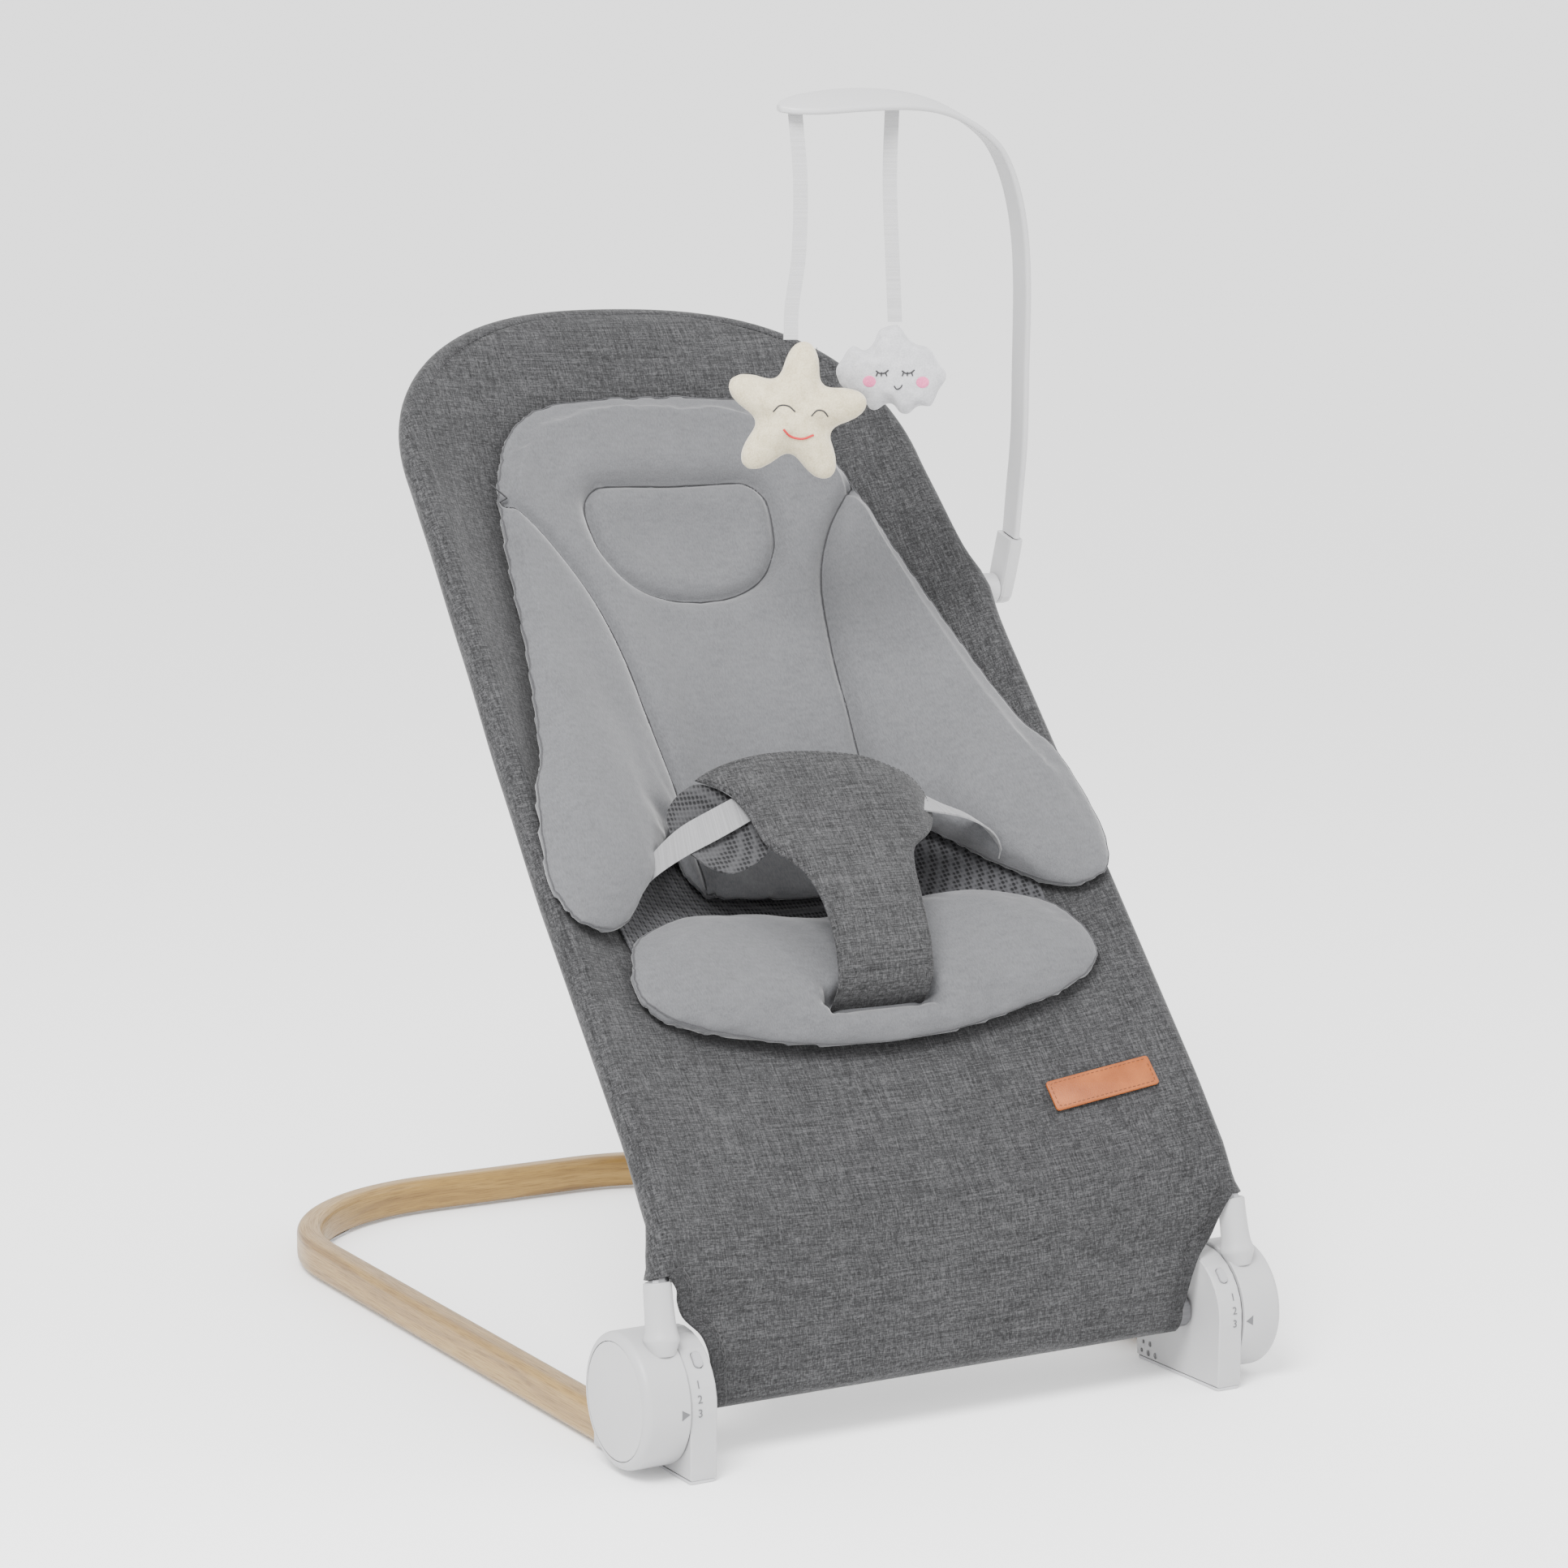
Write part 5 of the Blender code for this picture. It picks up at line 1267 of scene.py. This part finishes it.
# ---------------------------------------------------------------- soft toys
TOY_WIDE = Vector((math.cos(TOY_TURN), math.sin(TOY_TURN), 0.0))
TOY_FACE = Vector((math.sin(TOY_TURN), -math.cos(TOY_TURN), 0.0))


def hanging_tape(name, top, drop, bends, body, node):
    pts = [top + UP * (-drop * t) + TOY_WIDE * a for t, a in bends]
    points = smooth_line(pts, 6)
    return strap(name, points, TAPE_HALF, [TOY_WIDE] * len(points), 0.0005, "ribbon", body, (node,))


def toy(name, top, drop, outline, depth, material, body, node, turn, reach):
    middle = top - UP * (drop + reach)
    ca, sa = math.cos(turn), math.sin(turn)

    def place(a, b, h):
        a, b = a * ca - b * sa, a * sa + b * ca
        return middle + TOY_WIDE * a + UP * b + TOY_FACE * h

    def front(q, a, b):
        return 0.0015 + depth * math.sqrt(max(0.0, 1.0 - q ** 2.4))
    v, f = puff(outline, (0.0, 0.0), place, lambda q, a, b: -front(q, a, b), front,
                (0.15, 0.3, 0.45, 0.6, 0.72, 0.82, 0.9, 0.95, 0.985, 1.0))
    ob = piece(name, v, f, material, body, (node,), 80.0)
    inflate(ob, 0.0030, 6.0, 0.0050)
    tree = surface_tree(ob)

    def surface(a, b, lift):
        start = middle + TOY_WIDE * a + UP * b + TOY_FACE * 0.08
        hit = tree.ray_cast(start, -TOY_FACE)
        return (hit[0] if hit[0] is not None else start - TOY_FACE * 0.07) + TOY_FACE * lift
    return surface


def draw(name, strokes, surface, radius, material, body):
    verts, faces = [], []
    for stroke in strokes:
        pts = [surface(a, b, radius * 0.35) for a, b in fine(stroke, 6)]
        add_part(verts, faces, tube(pts, radius, 6))
    return piece(name, verts, faces, material, body, (), weld=False)


def star_outline():
    pts = []
    for k in range(120):
        a = math.radians(90.0 + 3.0 * k)
        lobe = 0.5 + 0.5 * math.cos(5.0 * (a - math.radians(90.0)))
        r = 0.0305 + 0.0215 * lobe ** 1.2
        pts.append((r * math.cos(a), r * math.sin(a)))
    return pts


CLOUD_KEYS = ((8, 75), (35, 46), (58, 36), (70, 17), (84, -6), (72, -30), (62, -52), (44, -54), (23, -68),
              (-4, -55),
              (-30, -62), (-48, -42), (-74, -26), (-85, 0), (-76, 18), (-64, 38), (-38, 40), (-14, 68))


def cloud_outline():
    keys = [Vector((a * 0.00047, b * 0.00047, 0.0)) for a, b in reversed(CLOUD_KEYS)]
    line = smooth_line(keys[-2:] + keys + keys[:2], 7)[14:-14]
    return [(p.x, p.y) for p in line[:-1]]


hanging_tape("tape_star", STAR_TOP + UP * 0.003, 0.1530, ((0.0, 0.0), (0.30, 0.0035), (0.62, 0.0025),
                                                          (0.85, -0.0022), (1.0, -0.0030)), "star_toy",
                                                          "star_ribbon")
hanging_tape("tape_cloud", CLOUD_TOP + UP * 0.002, 0.1490, ((0.0, 0.0), (0.35, -0.0015), (0.7, 0.0005),
                                                            (1.0, 0.0025)), "cloud_toy", "cloud_ribbon")
on_star = toy("star_soft", STAR_TOP, 0.1480, star_outline(), 0.0110, "star", "star_toy", "plush_star",
              math.radians(-8.0), 0.0525)
draw("star_eyes", [[(-0.0150, 0.0020), (-0.0105, 0.0062), (-0.0045, 0.0058), (0.0000, 0.0020)],
                   [(0.0110, -0.0010), (0.0150, 0.0028), (0.0195, 0.0022),
                    (0.0225, -0.0015)]], on_star, 0.00055, "dark_thread_and_groove_shade", "star_toy")
draw("star_smile", [[(-0.0080, -0.0100), (-0.0030, -0.0150), (0.0050, -0.0165), (0.0125, -0.0140)]],
     on_star, 0.00085, "red_thread", "star_toy")
on_cloud = toy("cloud_soft", CLOUD_TOP, 0.1460, cloud_outline(), 0.0110, "cloud", "cloud_toy",
               "plush_cloud", 0.0, 0.0350)
eyes = []
for cx in (-0.0065, 0.0115):
    eyes.append([(cx - 0.0045, 0.0010), (cx - 0.0020, -0.0008), (cx + 0.0015, -0.0006),
                 (cx + 0.0042, 0.0014)])
    for k in (-0.0032, -0.0006, 0.0022):
        eyes.append([(cx + k, 0.0000), (cx + k * 1.35, -0.0028)])
draw("cloud_eyes", eyes, on_cloud, 0.00055, "dark_thread_and_groove_shade", "cloud_toy")
draw("cloud_smile", [[(0.0015, -0.0095), (0.0035, -0.0118), (0.0060, -0.0108), (0.0072, -0.0088)]],
     on_cloud, 0.00055, "dark_thread_and_groove_shade", "cloud_toy")
verts, faces = [], []
for cx, cy in ((-0.0155, -0.0065), (0.0215, -0.0072)):
    start = len(verts)
    verts.append(on_cloud(cx, cy, 0.0005))
    for q in (0.5, 0.85, 1.0):
        for k in range(24):
            a = math.tau * k / 24
            verts.append(on_cloud(cx + 0.0048 * q * math.cos(a), cy + 0.0042 * q * math.sin(a),
                                  0.0005 if q < 0.9 else -0.0002))
    for k in range(24):
        n = (k + 1) % 24
        faces.append((start, start + 1 + k, start + 1 + n))
        for r in range(2):
            a = start + 1 + r * 24
            faces.append((a + k, a + 24 + k, a + 24 + n, a + n))
piece("cloud_cheeks", verts, faces, "pink", "cloud_toy", (), weld=False)


# ---------------------------------------------------------------- numbers and pointer on the hubs
def glyph(name, text, where, right, up, size, body):
    """A raised numeral, from Blender's own font."""
    curve = bpy.data.curves.new(name, "FONT")
    curve.body = text
    curve.size = size
    curve.align_x = "CENTER"
    curve.align_y = "CENTER"
    curve.extrude = 0.00008
    temp = bpy.data.objects.new(name, curve)
    bpy.context.scene.collection.objects.link(temp)
    graph = bpy.context.evaluated_depsgraph_get()
    mesh = bpy.data.meshes.new_from_object(temp.evaluated_get(graph))
    out = right.cross(up).normalized()
    verts = [where + right * v.co.x + up * v.co.y + out * v.co.z for v in mesh.vertices]
    faces = [tuple(p.vertices) for p in mesh.polygons]
    bpy.data.objects.remove(temp)
    return piece(name, verts, faces, "print", body, (), 30.0, weld=False)


DIAL_X = 0.2070
for side, word in SIDES:
    for digit, z in (("1", 0.0640), ("2", 0.0550), ("3", 0.0460)):
        if z > HUB_Z:
            radial = Vector((0.0, -math.sqrt(HOUSING_R ** 2 - (z - HUB_Z) ** 2), z - HUB_Z)).normalized()
            where = Vector((side * DIAL_X, HUB_Y, HUB_Z)) + radial * (HOUSING_R + 0.00015)
        else:
            radial = Vector((0.0, -1.0, 0.0))
            where = Vector((side * DIAL_X, HUB_Y - HOUSING_R - 0.00015, z))
        up = radial.cross(ACROSS).normalized()
        glyph("dial_%s_%s" % (word, digit), digit, where, ACROSS, up, 0.0075, "base")
    radial = Vector((0.0, -1.0, -0.03)).normalized()
    c = Vector((side * 0.2185, HUB_Y, HUB_Z)) + radial * (DRUM_R + 0.0001)
    up = radial.cross(ACROSS).normalized()
    tip = ACROSS * -side
    tri = [c + tip * 0.0034, c - tip * 0.0024 + up * 0.0034, c - tip * 0.0024 - up * 0.0034]
    back = [p - radial * 0.0006 for p in tri]
    v, f = loft([back, tri])
    piece("pointer_" + word, v, f, "print", "seat", (), 20.0)

# ---------------------------------------------------------------- floor, light, camera
FLOOR_HALF = 30.0
FLOOR_TONE = 0.93
FLOOR_GLOW = 0.14           # evens the far floor with the background
WORLD_STRENGTH = 2.05

floor = bpy.data.meshes.new("floor")
floor.from_pydata([(x * FLOOR_HALF, y * FLOOR_HALF, -0.0004) for x,
                   y in ((-1, -1), (1, -1), (1, 1), (-1, 1))],
                  [], [(0, 1, 2, 3)])
floor_ob = bpy.data.objects.new("floor", floor)
bpy.context.scene.collection.objects.link(floor_ob)
stage_mat = Shade("stage", rough=0.9)
stage_mat.out.inputs["Base Color"].default_value = (FLOOR_TONE, FLOOR_TONE, FLOOR_TONE, 1.0)
stage_mat.out.inputs["Emission Color"].default_value = (1.0, 1.0, 1.0, 1.0)
stage_mat.out.inputs["Emission Strength"].default_value = FLOOR_GLOW
floor.materials.append(stage_mat.mat)

world = bpy.data.worlds.new("studio")
bpy.context.scene.world = world
world.use_nodes = True
world.node_tree.nodes["Background"].inputs[0].default_value = (1.0, 1.0, 1.0, 1.0)
world.node_tree.nodes["Background"].inputs[1].default_value = WORLD_STRENGTH


def area_light(name, where, target, size, power):
    data = bpy.data.lights.new(name, "AREA")
    data.shape = "DISK"
    data.size = size
    data.energy = power
    ob = bpy.data.objects.new(name, data)
    ob.location = where
    ob.rotation_euler = (Vector(target) - Vector(where)).to_track_quat("-Z", "Y").to_euler()
    bpy.context.scene.collection.objects.link(ob)


area_light("key", (-1.6, -1.6, 2.6), (0.0, 0.0, 0.3), 1.4, 195.0)
area_light("fill", (2.4, -1.6, 1.6), (0.0, 0.0, 0.4), 2.2, 30.0)

camera = bpy.data.cameras.new("camera")
camera.lens = 90.15
camera.sensor_width = 36.0
camera.clip_start = 0.1
camera.clip_end = 50.0
camera_ob = bpy.data.objects.new("camera", camera)
camera_ob.location = (-1.344, FRONT_Y - 2.108, 0.786)
forward = Vector((0.4892, 0.8607, -0.1403))
camera_ob.rotation_euler = forward.to_track_quat("-Z", "Y").to_euler()
bpy.context.scene.collection.objects.link(camera_ob)
bpy.context.scene.camera = camera_ob
